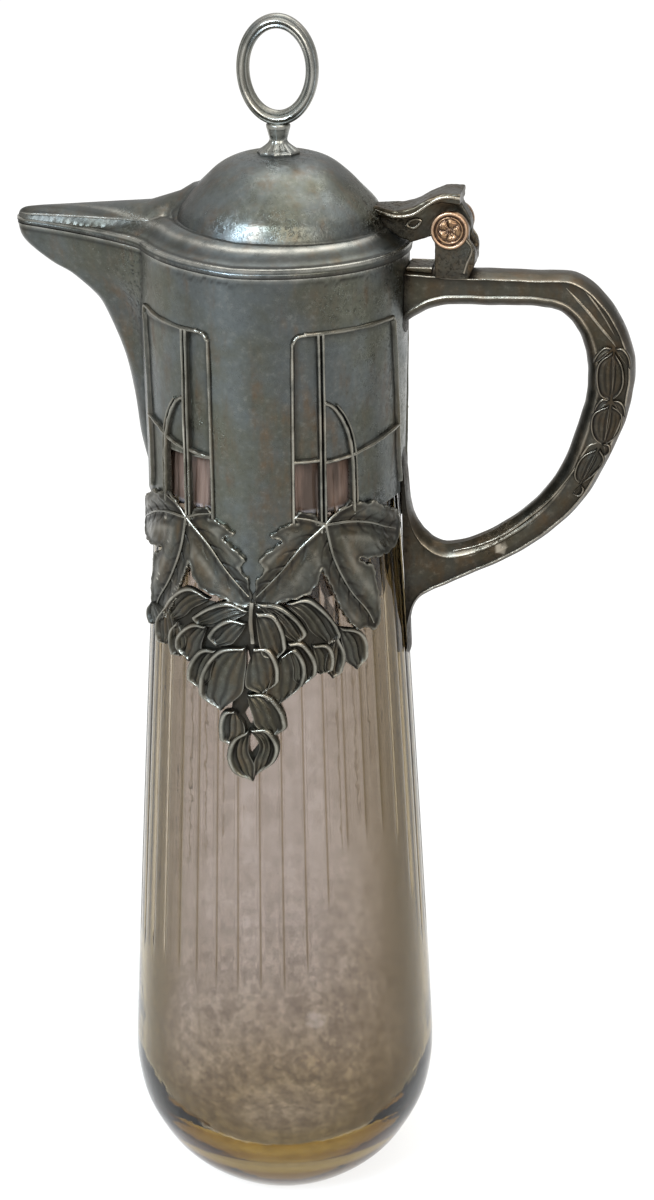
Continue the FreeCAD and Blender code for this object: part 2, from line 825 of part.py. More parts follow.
def make_lid_arm():
    web = new_body("lever_web")
    corners = [
        (29, 318),
        (36, 315),
        (42, 316.6),
        ("pivot_x - 0.87 * knuckle_radius", "pivot_height - 0.46 * knuckle_radius", "knuckle_radius", -1),
        ("pivot_x + 0.87 * knuckle_radius", "pivot_height + 0.46 * knuckle_radius"),
        ("lever_end", "lever_top - 3.4"),
        ("lever_end", "lever_top - 1"),
        (50.8, "lever_top - 1"),
        (46.4, "lever_top - 3.4"),
        (42.1, "lever_top - 5.6"),
        (37.7, "lever_top - 6.8"),
        (29, "lever_top - 6"),
    ]
    pad(web, outline(new_sketch(web, "side"), corners), "knuckle_width")
    bore = round_outline(new_sketch(web, "bore"), "pivot_x", "pivot_height", "pin_radius + pin_clearance")
    pocket_through(web, bore, "bore_cut")

    flange = new_body("lever_flange")
    corners = [
        (29, "lever_top - 7.6"),
        (37.7, "lever_top - 7.6"),
        (42.1, "lever_top - 6.4"),
        (46.4, "lever_top - 4"),
        (50.4, "lever_top - 2.6"),
        ("lever_end", "lever_top - 3.3"),
        ("lever_end", "lever_top"),
        (50.8, "lever_top"),
        (46.4, "lever_top - 1.9"),
        (42.1, "lever_top - 4.4"),
        (37.7, "lever_top - 5.6"),
        (29, "lever_top - 5"),
    ]
    pad(flange, outline(new_sketch(flange, "side"), corners), "lever_width")
    lever = fuse("lever", [web, flange])
    envelope = make_lid_envelope()
    return boolean("Cut", "lid_arm", lever, envelope)


def make_lid_envelope():
    """The lid without its hollow, used to end the lever on the lid's outer surface."""
    body = new_body("lid_envelope")
    profile = [
        (0, 300),
        ("lid_radius", 300),
        ("lid_radius", "lid_rim_top"),
        ("lid_radius - 3", "lid_rim_top + 0.8"),
        ("lid_radius - 6", "lid_rim_top + 3"),
        ("dome_radius", "dome_foot"),
        (0, "dome_foot"),
    ]
    revolve(body, outline(new_sketch(body, "flange"), profile), "flange_turning")
    dome = new_sketch(body, "dome")
    dome.setExpression("AttachmentOffset.Base.x", formula("dome_x"))
    revolve(body, outline(dome, dome_profile("0")), "dome_turning")
    return body


# ---------------------------------------------------------------- finial

def make_finial_foot():
    body = new_body("finial_foot")
    sketch = new_sketch(body, "profile")
    sketch.setExpression("AttachmentOffset.Base.x", formula("dome_x"))
    profile = [
        ("stud_radius", "dome_top"),
        ("foot_radius", "dome_top"),
        ("foot_radius", "dome_top + foot_height"),
        ("stem_neck_radius", "stem_neck_height"),
        ("stem_top_radius", "stem_top - 1"),
        ("stem_top_radius - 0.4", "stem_top"),
        ("stud_radius", "stem_top"),
    ]
    revolve(body, outline(sketch, profile))
    return body


def make_finial_stud():
    stud = doc.addObject("Part::Cylinder", "finial_stud")
    stud.Label = "finial_stud"
    low = "dome_top - lid_wall - nut_thickness - 1"
    bind(
        stud,
        Radius="stud_radius",
        Height="stem_top - 0.5 - (%s)" % low,
        Placement__Base__x="dome_x",
        Placement__Base__z=low,
    )
    return stud


def make_finial_nut():
    prism = doc.addObject("Part::Prism", "nut_blank")
    prism.Polygon = 6
    bind(
        prism,
        Circumradius="nut_width / 2 / cos(30)",
        Height="nut_thickness",
        Placement__Base__x="dome_x",
        Placement__Base__z="dome_top - lid_wall - nut_thickness",
    )
    hole = doc.addObject("Part::Cylinder", "nut_hole")
    bind(hole, Radius="stud_radius", Height=400, Placement__Base__x="dome_x")
    return boolean("Cut", "finial_nut", prism, hole)


def make_finial_ring(stem_parts):
    body = new_body("ring_blank")
    sketch = new_sketch(body, "ovals")
    for half_width, half_height in (
        ("ring_half_width", "ring_half_height"),
        ("ring_hole_half_width", "ring_hole_half_height"),
    ):
        centre = FreeCAD.Vector(size("dome_x"), size("ring_centre_height"), 0)
        top = centre + FreeCAD.Vector(0, size(half_height), 0)
        side = centre + FreeCAD.Vector(size(half_width), 0, 0)
        oval = sketch.addGeometry(Part.Ellipse(top, side, centre), False)
        sketch.exposeInternalGeometry(oval)
    arm = pad(body, sketch, "ring_thickness")
    doc.recompute()
    rounding = body.newObject("PartDesign::Fillet", "ring_rounding_cut")
    round_edges = []
    for number, edge in enumerate(arm.Shape.Edges, start=1):
        if edge.Length > 2 * size("ring_half_height"):
            round_edges.append("Edge%d" % number)
    rounding.Base = (arm, round_edges)
    bind(rounding, Radius="ring_rounding")
    return boolean("Cut", "finial_ring", body, fuse("finial_core", stem_parts))


# ---------------------------------------------------------------- build and write

def build():
    parts = [make_glass_body(), make_plaster_bed(), make_collar_sleeve(), make_spout()]
    leaf_skin = make_ornament_skin("leaf_skin", "leaf_thickness")
    grape_skin = make_ornament_skin("grape_skin", "grape_thickness")
    tracery_skin = make_ornament_skin("tracery_skin", "tracery_thickness")

    leaf_right = make_leaf(leaf_skin)
    leaf_left = mirror("leaf_front_left", leaf_right, (1, 0, 0))
    tracery = make_tracery(tracery_skin)
    bunch = make_bunch(grape_skin)
    parts += [tracery, leaf_right, leaf_left, bunch]
    parts += [
        mirror("tracery_back", tracery, (0, 1, 0)),
        mirror("leaf_back_right", leaf_right, (0, 1, 0)),
        mirror("leaf_back_left", leaf_left, (0, 1, 0)),
        mirror("grapes_back", bunch, (0, 1, 0)),
    ]

    handle = make_handle()
    parts += [handle, make_root_plate(handle), make_hinge_post(handle)]
    parts += make_pin_parts()

    lid_shell = make_lid_shell()
    finial_foot = make_finial_foot()
    finial_stud = make_finial_stud()
    parts += [lid_shell, make_lid_bezel(), make_lid_arm(), finial_foot, finial_stud]
    parts += [make_finial_nut(), make_finial_ring([finial_foot, finial_stud])]
    return parts


parts = build()
doc.recompute()

for item in doc.Objects:
    if "Invalid" in item.State or "Error" in item.State:
        raise RuntimeError("%s failed to recompute: %s" % (item.Label, item.State))
os.makedirs("parts", exist_ok=True)
for part in parts:
    shape = part.Shape
    if shape.isNull() or not shape.isValid() or not shape.Solids:
        raise RuntimeError("%s has no valid solid" % part.Label)
    shape.exportStep("parts/%s.step" % part.Label)
    box_of = shape.BoundBox
    print("%-18s %2d solids %9.1f mm3  x %.1f..%.1f  y %.1f..%.1f  z %.1f..%.1f" % (
        part.Label, len(shape.Solids), shape.Volume,
        box_of.XMin, box_of.XMax, box_of.YMin, box_of.YMax, box_of.ZMin, box_of.ZMax))
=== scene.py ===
import math

import bmesh
import bpy
import numpy as np
from mathutils import Matrix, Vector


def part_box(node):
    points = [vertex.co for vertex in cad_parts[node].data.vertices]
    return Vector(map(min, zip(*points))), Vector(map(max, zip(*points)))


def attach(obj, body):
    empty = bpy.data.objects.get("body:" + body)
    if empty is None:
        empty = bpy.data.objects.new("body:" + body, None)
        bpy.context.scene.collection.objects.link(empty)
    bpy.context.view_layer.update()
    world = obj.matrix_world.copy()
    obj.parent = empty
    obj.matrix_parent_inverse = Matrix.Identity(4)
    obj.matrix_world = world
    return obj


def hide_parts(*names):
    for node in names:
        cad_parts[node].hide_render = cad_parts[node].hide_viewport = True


# Looks of the lidded claret jug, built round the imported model.
# Sizes are millimetres and become metres when a mesh is made. The frame is the part's own: origin at the
# centre of the foot, +Z up, spout towards -X, handle towards +X, the front panel towards -Y.

MM = 0.001

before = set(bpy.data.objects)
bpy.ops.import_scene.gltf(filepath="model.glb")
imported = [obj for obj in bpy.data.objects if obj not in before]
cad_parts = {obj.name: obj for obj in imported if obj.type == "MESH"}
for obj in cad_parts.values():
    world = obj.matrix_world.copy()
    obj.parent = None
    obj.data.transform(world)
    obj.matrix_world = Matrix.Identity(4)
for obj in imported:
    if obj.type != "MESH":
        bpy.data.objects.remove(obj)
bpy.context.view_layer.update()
random = np.random.default_rng(7)


def limits(node):
    """Lowest and highest corner of a CAD node in millimetres."""
    low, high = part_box(node)
    return np.array(low) / MM, np.array(high) / MM


# ---------------------------------------------------------------- driving sizes, read from the frame

GLASS_LOW, GLASS_HIGH = limits("glass_body")
COLLAR_LOW, COLLAR_HIGH = limits("collar_sleeve")
SPOUT_LOW, SPOUT_HIGH = limits("spout")
LID_LOW, LID_HIGH = limits("lid_shell")
BUNCH_LOW, BUNCH_HIGH = limits("grapes_front")
FOOT_LOW, FOOT_HIGH = limits("finial_foot")
RING_LOW, RING_HIGH = limits("finial_ring")
POST_LOW, POST_HIGH = limits("hinge_post")
ROSETTE_LOW, ROSETTE_HIGH = limits("rosette_front")
ARM_LOW, ARM_HIGH = limits("lid_arm")

BULB_RADIUS = GLASS_HIGH[0]
BULB_HEIGHT = 41.0
SEAM = 313.4
SEAM_BEND = -5.0
SEAM_GAP = 0.3
BEAK_TIP = SPOUT_LOW[0]
BEAK_SEAM = SPOUT_HIGH[2]
BEAK_TIP_RADIUS = 5.0
LID_RADIUS = LID_HIGH[0]
DOME_X = 1.8
DOME_TOP = FOOT_LOW[2]
PIVOT = (ROSETTE_LOW + ROSETTE_HIGH) / 2
FRONT = math.radians(-90)


# ---------------------------------------------------------------- mesh tools

class Batch:
    """Collects closed shells, with marks painted on their points, and makes one object: wear and painted highlight on
    edges and lines, grime and painted shade in hollows, seams, joints and undersides, pits, and the glass's cut
    lines.
    """

    # The first mark lightens edges with wear and painted highlight; the second darkens hollows, seams, joints and
    # undersides with grime and painted shade.
    MARKS = ("wear", "dirt", "pits", "cut")

    def __init__(self):
        self.points = []
        self.faces = []
        self.marks = {mark: [] for mark in self.MARKS}
        self.count = 0

    def add(self, points, faces, **marks):
        points = np.asarray(points, float).reshape(-1, 3)
        self.points.append(points)
        self.faces += [tuple(int(corner) + self.count for corner in face) for face in faces]
        for mark in self.MARKS:
            values = np.broadcast_to(np.asarray(marks.get(mark, 0.0), float), len(points))
            self.marks[mark].append(values)
        self.count += len(points)

    def make(self, name, material, body, nodes, crease=38):
        mesh = bpy.data.meshes.new(name)
        mesh.from_pydata((np.concatenate(self.points) * MM).tolist(), [], self.faces)
        for mark in self.MARKS:
            values = np.clip(np.concatenate(self.marks[mark]), 0, 1)
            if values.any():
                layer = mesh.attributes.new(mark, "FLOAT", "POINT")
                layer.data.foreach_set("value", values.astype(np.float32))
        work = bmesh.new()
        work.from_mesh(mesh)
        bmesh.ops.remove_doubles(work, verts=work.verts, dist=0.000002)
        bmesh.ops.recalc_face_normals(work, faces=work.faces)
        work.to_mesh(mesh)
        work.free()
        mesh.polygons.foreach_set("use_smooth", [True] * len(mesh.polygons))
        mesh.set_sharp_from_angle(angle=math.radians(crease))
        mesh.materials.append(material)
        thing = bpy.data.objects.new(name, mesh)
        bpy.context.scene.collection.objects.link(thing)
        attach(thing, body)
        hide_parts(*nodes)
        return thing


def loft(rows, closed=True, caps=True):
    """Points and faces of a skin through rows of points; each row is a loop if closed."""
    rows = np.asarray(rows, float)
    count, width = rows.shape[:2]
    index = np.arange(count * width).reshape(count, width)
    span = width if closed else width - 1
    a = index[:-1, :span]
    b = index[:-1, (np.arange(span) + 1) % width]
    c = index[1:, (np.arange(span) + 1) % width]
    d = index[1:, :span]
    faces = np.stack([a, b, c, d], -1).reshape(-1, 4).tolist()
    if caps:
        faces.append(index[0][::-1].tolist())
        faces.append(index[-1].tolist())
    return rows.reshape(-1, 3), faces


def ring_loft(rows):
    """Skin through loops that themselves close up into a ring."""
    rows = np.asarray(rows, float)
    count = rows.shape[0] * rows.shape[1]
    points, faces = loft(np.concatenate([rows, rows[:1]]), True, False)
    return points[:count], (np.array(faces) % count).tolist()


def turned(profile, segments, axis_x=0.0):
    """A closed profile of (radius, height) turned about a vertical axis."""
    profile = np.asarray(profile, float)
    turn = np.linspace(0, 2 * math.pi, segments, endpoint=False)[:, None]
    x = axis_x + np.cos(turn) * profile[:, 0]
    y = np.sin(turn) * profile[:, 0]
    z = np.broadcast_to(profile[:, 1], x.shape)
    return ring_loft(np.stack([x, y, z], -1))


def curve(points, steps=8, closed=False):
    """A smooth line through the points."""
    points = np.asarray(points, float)
    if closed:
        before, after, last = points[-1:], points[:2], len(points)
    else:
        before, after, last = 2 * points[:1] - points[1:2], 2 * points[-1:] - points[-2:-1], len(points) - 1
    knots = np.concatenate([before, points, after])
    part = np.linspace(0, 1, steps, endpoint=False)[:, None]
    pieces = []
    for i in range(last):
        p0, p1, p2, p3 = knots[i:i + 4]
        pieces.append(
            0.5 * (2 * p1 + (p2 - p0) * part + (2 * p0 - 5 * p1 + 4 * p2 - p3) * part**2
                   + (3 * p1 - p0 - 3 * p2 + p3) * part**3)
        )
    if not closed:
        pieces.append(points[-1:])
    return np.concatenate(pieces)


def step(value, low, high):
    part = np.clip((value - low) / (high - low), 0, 1)
    return part * part * (3 - 2 * part)


def bump(value, centre, width):
    return np.exp(-(((value - centre) / width) ** 2))


def inside_distance(outline, u, v):
    """Signed distance from points to a closed outline, positive inside."""
    best = np.full(len(u), 1e9)
    crossings = np.zeros(len(u), int)
    for (ax, ay), (bx, by) in zip(outline, np.roll(outline, -1, axis=0)):
        dx, dy = bx - ax, by - ay
        along = np.clip(((u - ax) * dx + (v - ay) * dy) / (dx * dx + dy * dy + 1e-12), 0, 1)
        best = np.minimum(best, np.hypot(u - ax - along * dx, v - ay - along * dy))
        if ay != by:
            crosses = (ay > v) != (by > v)
            crossings += crosses & (u < ax + (v - ay) * dx / dy)
    return np.where(crossings % 2 == 1, best, -best)


def line_distance(line, u, v):
    """Distance from points to an open line, and how far along it the nearest place is, 0 to 1."""
    line = np.asarray(line, float)
    best = np.full(len(u), 1e9)
    place = np.zeros(len(u))
    count = len(line) - 1
    for i, ((ax, ay), (bx, by)) in enumerate(zip(line[:-1], line[1:])):
        dx, dy = bx - ax, by - ay
        along = np.clip(((u - ax) * dx + (v - ay) * dy) / (dx * dx + dy * dy + 1e-12), 0, 1)
        far = np.hypot(u - ax - along * dx, v - ay - along * dy)
        near = far < best
        best = np.where(near, far, best)
        place = np.where(near, (i + along) / count, place)
    return best, place


def clipped_grid(us, vs, inside):
    """Points and triangles of the part of a grid where inside(u, v) is positive, cut off where it is zero."""
    grid_u, grid_v = (part.ravel() for part in np.meshgrid(us, vs, indexing="ij"))
    depth = inside(grid_u, grid_v)
    depth = np.where(np.abs(depth) < 1e-4, 1e-4, depth)
    index = np.arange(len(grid_u)).reshape(len(us), len(vs))
    a, b, c, d = (part.ravel() for part in (index[:-1, :-1], index[1:, :-1], index[1:, 1:], index[:-1, 1:]))
    triangles = np.concatenate([np.stack([a, b, c], 1), np.stack([a, c, d], 1)])
    kept = depth[triangles] > 0
    number = kept.sum(1)

    def turned_to(rows, wanted):
        first = np.argmax(kept[rows] == wanted, axis=1)
        order = (first[:, None] + np.arange(3)) % 3
        return np.take_along_axis(triangles[rows], order, 1)

    one = turned_to(number == 1, True)
    two = turned_to(number == 2, False)
    pairs = np.concatenate([one[:, [0, 1]], one[:, [0, 2]], two[:, [1, 0]], two[:, [2, 0]]])
    keys, back = np.unique(pairs, axis=0, return_inverse=True)
    back = back.ravel() + len(grid_u)
    share = depth[keys[:, 0]] / (depth[keys[:, 0]] - depth[keys[:, 1]])
    cut_u = grid_u[keys[:, 0]] + share * (grid_u[keys[:, 1]] - grid_u[keys[:, 0]])
    cut_v = grid_v[keys[:, 0]] + share * (grid_v[keys[:, 1]] - grid_v[keys[:, 0]])
    ends = np.split(back, np.cumsum([len(one), len(one), len(two)]))
    faces = np.concatenate([
        triangles[number == 3],
        np.stack([one[:, 0], ends[0], ends[1]], 1),
        np.stack([two[:, 1], two[:, 2], ends[3]], 1),
        np.stack([two[:, 1], ends[3], ends[2]], 1),
    ])
    used, faces = np.unique(faces, return_inverse=True)
    points = np.stack([np.concatenate([grid_u, cut_u]), np.concatenate([grid_v, cut_v])], 1)[used]
    return points, faces.reshape(-1, 3)


def shell(top, under, triangles):
    """A closed sheet between two sets of points with the same triangles."""
    joined, back = np.unique(np.round(top, 4), axis=0, return_inverse=True)
    back = back.ravel()
    low = np.zeros_like(joined)
    low[back] = under
    high = np.zeros_like(joined)
    high[back] = top
    triangles = back[triangles]
    proper = (triangles[:, 0] != triangles[:, 1]) & (triangles[:, 1] != triangles[:, 2])
    proper &= triangles[:, 2] != triangles[:, 0]
    triangles = triangles[proper]
    edges = np.concatenate([triangles[:, [0, 1]], triangles[:, [1, 2]], triangles[:, [2, 0]]])
    code = edges[:, 0] * len(joined) + edges[:, 1]
    reverse = edges[:, 1] * len(joined) + edges[:, 0]
    rim = edges[~np.isin(code, reverse)]
    count = len(joined)
    walls = np.stack([rim[:, 1], rim[:, 0], rim[:, 0] + count, rim[:, 1] + count], 1)
    faces = triangles.tolist() + (triangles[:, ::-1] + count).tolist() + walls.tolist()
    return np.concatenate([high, low]), faces, back


def doubled(values, back):
    """Point values of a shell: on the top points as given, nought underneath."""
    top = np.zeros(back.max() + 1)
    top[back] = values
    return np.concatenate([top, np.zeros_like(top)])


# ---------------------------------------------------------------- material tools

class Shader:
    """A material with short calls for the nodes it needs."""

    def __init__(self, name):
        self.material = bpy.data.materials.new(name)
        self.material.use_nodes = True
        self.tree = self.material.node_tree
        self.surface = self.tree.nodes["Principled BSDF"]
        self.output = self.tree.nodes["Material Output"]
        self.place = self.node("ShaderNodeTexCoord").outputs["Object"]

    def node(self, kind, **settings):
        made = self.tree.nodes.new(kind)
        for name, value in settings.items():
            setattr(made, name, value)
        return made

    def feed(self, socket, value):
        if isinstance(value, bpy.types.NodeSocket):
            self.tree.links.new(value, socket)
        elif isinstance(value, tuple) and len(value) == 3:
            socket.default_value = (*value, 1)
        else:
            socket.default_value = value

    def noise(self, scale, detail=4, roughness=0.55, stretch=None):
        made = self.node("ShaderNodeTexNoise")
        made.inputs["Scale"].default_value = scale
        made.inputs["Detail"].default_value = detail
        made.inputs["Roughness"].default_value = roughness
        place = self.place
        if stretch:
            mapping = self.node("ShaderNodeMapping")
            mapping.inputs["Scale"].default_value = stretch
            self.feed(mapping.inputs["Vector"], place)
            place = mapping.outputs["Vector"]
        self.feed(made.inputs["Vector"], place)
        return made.outputs["Fac"]

    def cells(self, scale):
        made = self.node("ShaderNodeTexVoronoi")
        made.inputs["Scale"].default_value = scale
        self.feed(made.inputs["Vector"], self.place)
        return made.outputs["Distance"]

    def along(self, axis):
        """Position along one axis of the shared frame, in metres."""
        split = self.node("ShaderNodeSeparateXYZ")
        self.feed(split.inputs["Vector"], self.place)
        return split.outputs[axis]

    def mark(self, name):
        return self.node("ShaderNodeAttribute", attribute_name=name).outputs["Fac"]

    def pointed(self, low, high):
        """Nought to one over a range of the mesh's own sharpness."""
        return self.spread(self.node("ShaderNodeNewGeometry").outputs["Pointiness"], low, high)

    def spread(self, value, low, high, out_low=0.0, out_high=1.0):
        made = self.node("ShaderNodeMapRange", interpolation_type="SMOOTHSTEP")
        self.feed(made.inputs["Value"], value)
        made.inputs["From Min"].default_value = low
        made.inputs["From Max"].default_value = high
        made.inputs["To Min"].default_value = out_low
        made.inputs["To Max"].default_value = out_high
        return made.outputs["Result"]

    def sum(self, kind, a, b):
        made = self.node("ShaderNodeMath", operation=kind, use_clamp=kind in ("ADD", "MULTIPLY", "SUBTRACT"))
        self.feed(made.inputs[0], a)
        self.feed(made.inputs[1], b)
        return made.outputs["Value"]

    def blend(self, share, a, b):
        made = self.node("ShaderNodeMix", data_type="RGBA")
        self.feed(made.inputs["Factor"], share)
        self.feed(made.inputs["A"], a)
        self.feed(made.inputs["B"], b)
        return made.outputs["Result"]

    def bumps(self, heights):
        """Adds bump from pairs of (height, depth in millimetres)."""
        normal = None
        for height, depth in heights:
            made = self.node("ShaderNodeBump")
            made.inputs["Strength"].default_value = 1.0
            made.inputs["Distance"].default_value = depth * MM
            self.feed(made.inputs["Height"], height)
            if normal:
                self.feed(made.inputs["Normal"], normal)
            normal = made.outputs["Normal"]
        self.feed(self.surface.inputs["Normal"], normal)


def pewter(name, grey, olive, brown, rubbed_and_highlight, brown_share, roughness, pitting, ground):
    """Old pewter: grey with olive and brown tarnish, lighter on rubbed edges and painted highlight lines, darker with
    grime and painted shade in hollows, and pitted.
    """
    s = Shader(name)
    clouds = s.noise(38, 5, 0.6)
    blots = s.noise(150, 6, 0.62)
    streaks = s.noise(60, 5, 0.6, (3.2, 3.2, 0.7))
    grain = s.noise(2600, 3, 0.6)
    tint = s.blend(s.spread(clouds, 0.38, 0.64), grey, olive)
    # Painted reflection: broad dark vertical bands, standing in for a varied room reflected in the rounded metal.
    bands = s.noise(34, 3, 0.5, (1, 1, 0.12))
    tint = s.blend(s.spread(bands, 0.34, 0.62, 0.0, 0.42), tint, ground)
    stain = s.sum("MULTIPLY", s.spread(streaks, 0.62 - brown_share, 0.92 - brown_share), s.spread(blots, 0.3, 0.75))
    tint = s.blend(stain, tint, brown)
    # Painted shade and grime: the colour is darkened in hollows, from the point mark and the mesh's concave places.
    hollow = s.sum("MAXIMUM", s.mark("dirt"), s.pointed(0.485, 0.40))
    mottle = s.noise(460, 7, 0.72)
    tint = s.blend(s.spread(mottle, 0.5, 0.74, 0.0, 0.14), tint, rubbed_and_highlight)
    tint = s.blend(s.spread(mottle, 0.5, 0.3, 0.0, 0.22), tint, ground)
    tint = s.blend(s.sum("MULTIPLY", hollow, 0.93), tint, ground)
    # Painted highlight and wear: the colour is lightened on ridges, from the point mark and the mesh's sharp places,
    # less where the darkening mark is.
    ridge = s.sum("MAXIMUM", s.mark("wear"), s.pointed(0.53, 0.62))
    ridge = s.sum("MULTIPLY", ridge, s.spread(blots, 0.28, 0.62, 0.25, 1.0))
    ridge = s.sum("MULTIPLY", ridge, s.sum("SUBTRACT", 1.0, s.mark("dirt")))
    tint = s.blend(ridge, tint, rubbed_and_highlight)
    spots = s.spread(s.noise(900, 5, 0.7), 0.5, 0.62)
    spot_area = s.sum("ADD", s.mark("pits"), s.sum("MULTIPLY", s.spread(clouds, 0.56, 0.72), pitting))
    pits = s.sum("MULTIPLY", spots, spot_area)
    tint = s.blend(s.sum("MULTIPLY", pits, 0.75), tint, ground)
    s.feed(s.surface.inputs["Base Color"], tint)
    s.surface.inputs["Metallic"].default_value = 1.0
    rough = s.spread(blots, 0.3, 0.7, roughness - 0.07, roughness + 0.1)
    rough = s.sum("ADD", rough, s.sum("MULTIPLY", hollow, 0.25))
    rough = s.sum("SUBTRACT", rough, s.sum("MULTIPLY", ridge, 0.12))
    s.feed(s.surface.inputs["Roughness"], s.sum("ADD", rough, s.sum("MULTIPLY", pits, 0.3)))
    s.bumps([
        (clouds, 0.35),
        (blots, 0.17),
        (mottle, 0.03),
        (grain, 0.025),
        (s.sum("SUBTRACT", 1.0, pits), 0.17),
    ])
    return s.material


def copper(name):
    s = Shader(name)
    blots = s.noise(700, 5, 0.6)
    tint = s.blend(s.spread(blots, 0.35, 0.65), (0.17, 0.1, 0.06), (0.24, 0.15, 0.08))
    # Painted shade and grime: darker in hollows, from the point mark and the mesh's concave places.
    hollow = s.sum("MAXIMUM", s.mark("dirt"), s.pointed(0.49, 0.42))
    tint = s.blend(s.sum("MULTIPLY", hollow, 0.9), tint, (0.05, 0.03, 0.022))
    # Painted highlight and wear: lighter on ridges, from the point mark and the mesh's sharp places.
    ridge = s.sum("MAXIMUM", s.mark("wear"), s.pointed(0.52, 0.6))
    tint = s.blend(s.sum("MULTIPLY", ridge, 0.6), tint, (0.52, 0.35, 0.24))
    s.feed(s.surface.inputs["Base Color"], tint)
    s.surface.inputs["Metallic"].default_value = 1.0
    s.feed(s.surface.inputs["Roughness"], s.spread(blots, 0.3, 0.7, 0.26, 0.5))
    s.bumps([(blots, 0.12), (s.noise(3000, 3), 0.02)])
    return s.material


def plain_steel(name):
    s = Shader(name)
    blots = s.noise(400, 5, 0.6)
    s.feed(s.surface.inputs["Base Color"], s.blend(blots, (0.32, 0.3, 0.28), (0.2, 0.15, 0.11)))
    s.surface.inputs["Metallic"].default_value = 1.0
    s.feed(s.surface.inputs["Roughness"], s.spread(blots, 0.3, 0.7, 0.3, 0.6))
    s.bumps([(blots, 0.08)])
    return s.material


def old_plaster(name):
    s = Shader(name)
    blots = s.noise(220, 6, 0.65)
    s.feed(s.surface.inputs["Base Color"], s.blend(blots, (0.42, 0.36, 0.28), (0.26, 0.19, 0.13)))
    s.feed(s.surface.inputs["Roughness"], s.spread(blots, 0.3, 0.7, 0.75, 0.95))
    s.bumps([(blots, 0.5), (s.cells(1200), 0.15)])
    return s.material


def old_glass(name):
    """Warm clear glass: cut lines with a dark amber line painted into each groove, in place of the light and dark
    that refraction shows there, a slight hammered ripple, fine smears.
    """
    s = Shader(name)
    ripple = s.noise(85, 3, 0.5)
    streaks = s.noise(30, 4, 0.6, (4, 4, 0.5))
    smears = s.noise(140, 6, 0.68)
    tint = s.blend(s.spread(streaks, 0.35, 0.7), (0.645, 0.602, 0.62), (0.555, 0.51, 0.51))
    tint = s.blend(s.spread(smears, 0.42, 0.7, 0.0, 0.5), tint, (0.44, 0.395, 0.38))
    stain = s.spread(s.noise(230, 5, 0.66), 0.44, 0.6)
    height = s.spread(s.along("Z"), 0.022, 0.095, 0.75, 0.12)
    tint = s.blend(s.sum("MULTIPLY", stain, height), tint, (0.27, 0.23, 0.225))
    tint = s.blend(s.spread(s.along("X"), 0.012, 0.046, 0.0, 0.62), tint, (0.3, 0.245, 0.15))
    # Painted refraction: a dark amber line along each cut groove.
    tint = s.blend(s.mark("cut"), tint, (0.2, 0.135, 0.05))
    tint = s.blend(s.mark("amber"), tint, (0.055, 0.039, 0.018))
    slant = s.node("ShaderNodeLayerWeight")
    slant.inputs["Blend"].default_value = 0.5
    tint = s.blend(s.spread(slant.outputs["Facing"], 0.28, 0.62), tint, (0.2, 0.155, 0.075))
    neck = s.spread(s.along("Z"), 0.2415, 0.2435)
    tint = s.blend(neck, tint, s.blend(s.spread(streaks, 0.42, 0.58), (0.17, 0.115, 0.09), (0.055, 0.036, 0.026)))
    s.feed(s.surface.inputs["Transmission Weight"], s.sum("SUBTRACT", 1.0, s.sum("MULTIPLY", neck, 0.75)))
    s.feed(s.surface.inputs["Base Color"], tint)
    s.surface.inputs["IOR"].default_value = 1.33
    s.feed(s.surface.inputs["Roughness"], s.spread(smears, 0.45, 0.8, 0.02, 0.14))
    s.bumps([(ripple, 0.16), (s.noise(330, 3, 0.5), 0.012)])
    absorb = s.node("ShaderNodeVolumeAbsorption")
    absorb.inputs["Color"].default_value = (0.8, 0.7, 0.3, 1)
    absorb.inputs["Density"].default_value = 80
    s.tree.links.new(absorb.outputs["Volume"], s.output.inputs["Volume"])
    return s.material


PEWTER_GROUND = (0.022, 0.02, 0.017)
MATERIALS = {
    "pewter": pewter("aged_pewter", (0.12, 0.134, 0.134), (0.104, 0.107, 0.084), (0.105, 0.072, 0.044),
                     (0.4, 0.39, 0.35), 0.18, 0.3, 0.5, PEWTER_GROUND),
    "relief": pewter("chased_pewter", (0.088, 0.093, 0.084), (0.075, 0.07, 0.05), (0.095, 0.065, 0.037),
                     (0.36, 0.345, 0.295), 0.22, 0.3, 0.4, PEWTER_GROUND),
    "handle": pewter("handle_pewter", (0.058, 0.057, 0.048), (0.052, 0.046, 0.031), (0.064, 0.042, 0.023),
                     (0.32, 0.28, 0.22), 0.3, 0.34, 0.8, (0.014, 0.012, 0.01)),
    "brass": copper("coppery_brass"),
    "steel": plain_steel("dull_steel"),
    "plaster": old_plaster("old_plaster"),
    "glass": old_glass("old_glass"),
}


# ---------------------------------------------------------------- shared surfaces

def wall_radius(z, inset=0.0):
    """Radius of the glass wall, a very large arc that meets the bulb smoothly."""
    sweep, turn = 12500.0, math.radians(3.2)
    rise = BULB_HEIGHT - (sweep - BULB_RADIUS) * math.sin(turn)
    shift = (sweep - BULB_RADIUS) * math.cos(turn)
    return np.sqrt((sweep - inset) ** 2 - (z - rise) ** 2) - shift


def foot_line(z):
    """Radius of the surface that the collar ends on and the ornament sits on."""
    total = 0
    for shift in (-10, -6, -2, 2, 6, 10):
        total = total + np.interp(
            z + shift, [150, 160, 215.5, 243, 313.4, 330], [43.58, 43.1, 40.45, 39.25, 40.45, 40.73]
        )
    return total / 6


def on_collar(azimuth, z, height=0.0):
    """Point at an azimuth in degrees and a height above the ornament's foot surface."""
    azimuth = np.radians(azimuth)
    radius = foot_line(z) + height
    return np.stack([radius * np.cos(azimuth), radius * np.sin(azimuth), z + 0 * azimuth], -1)


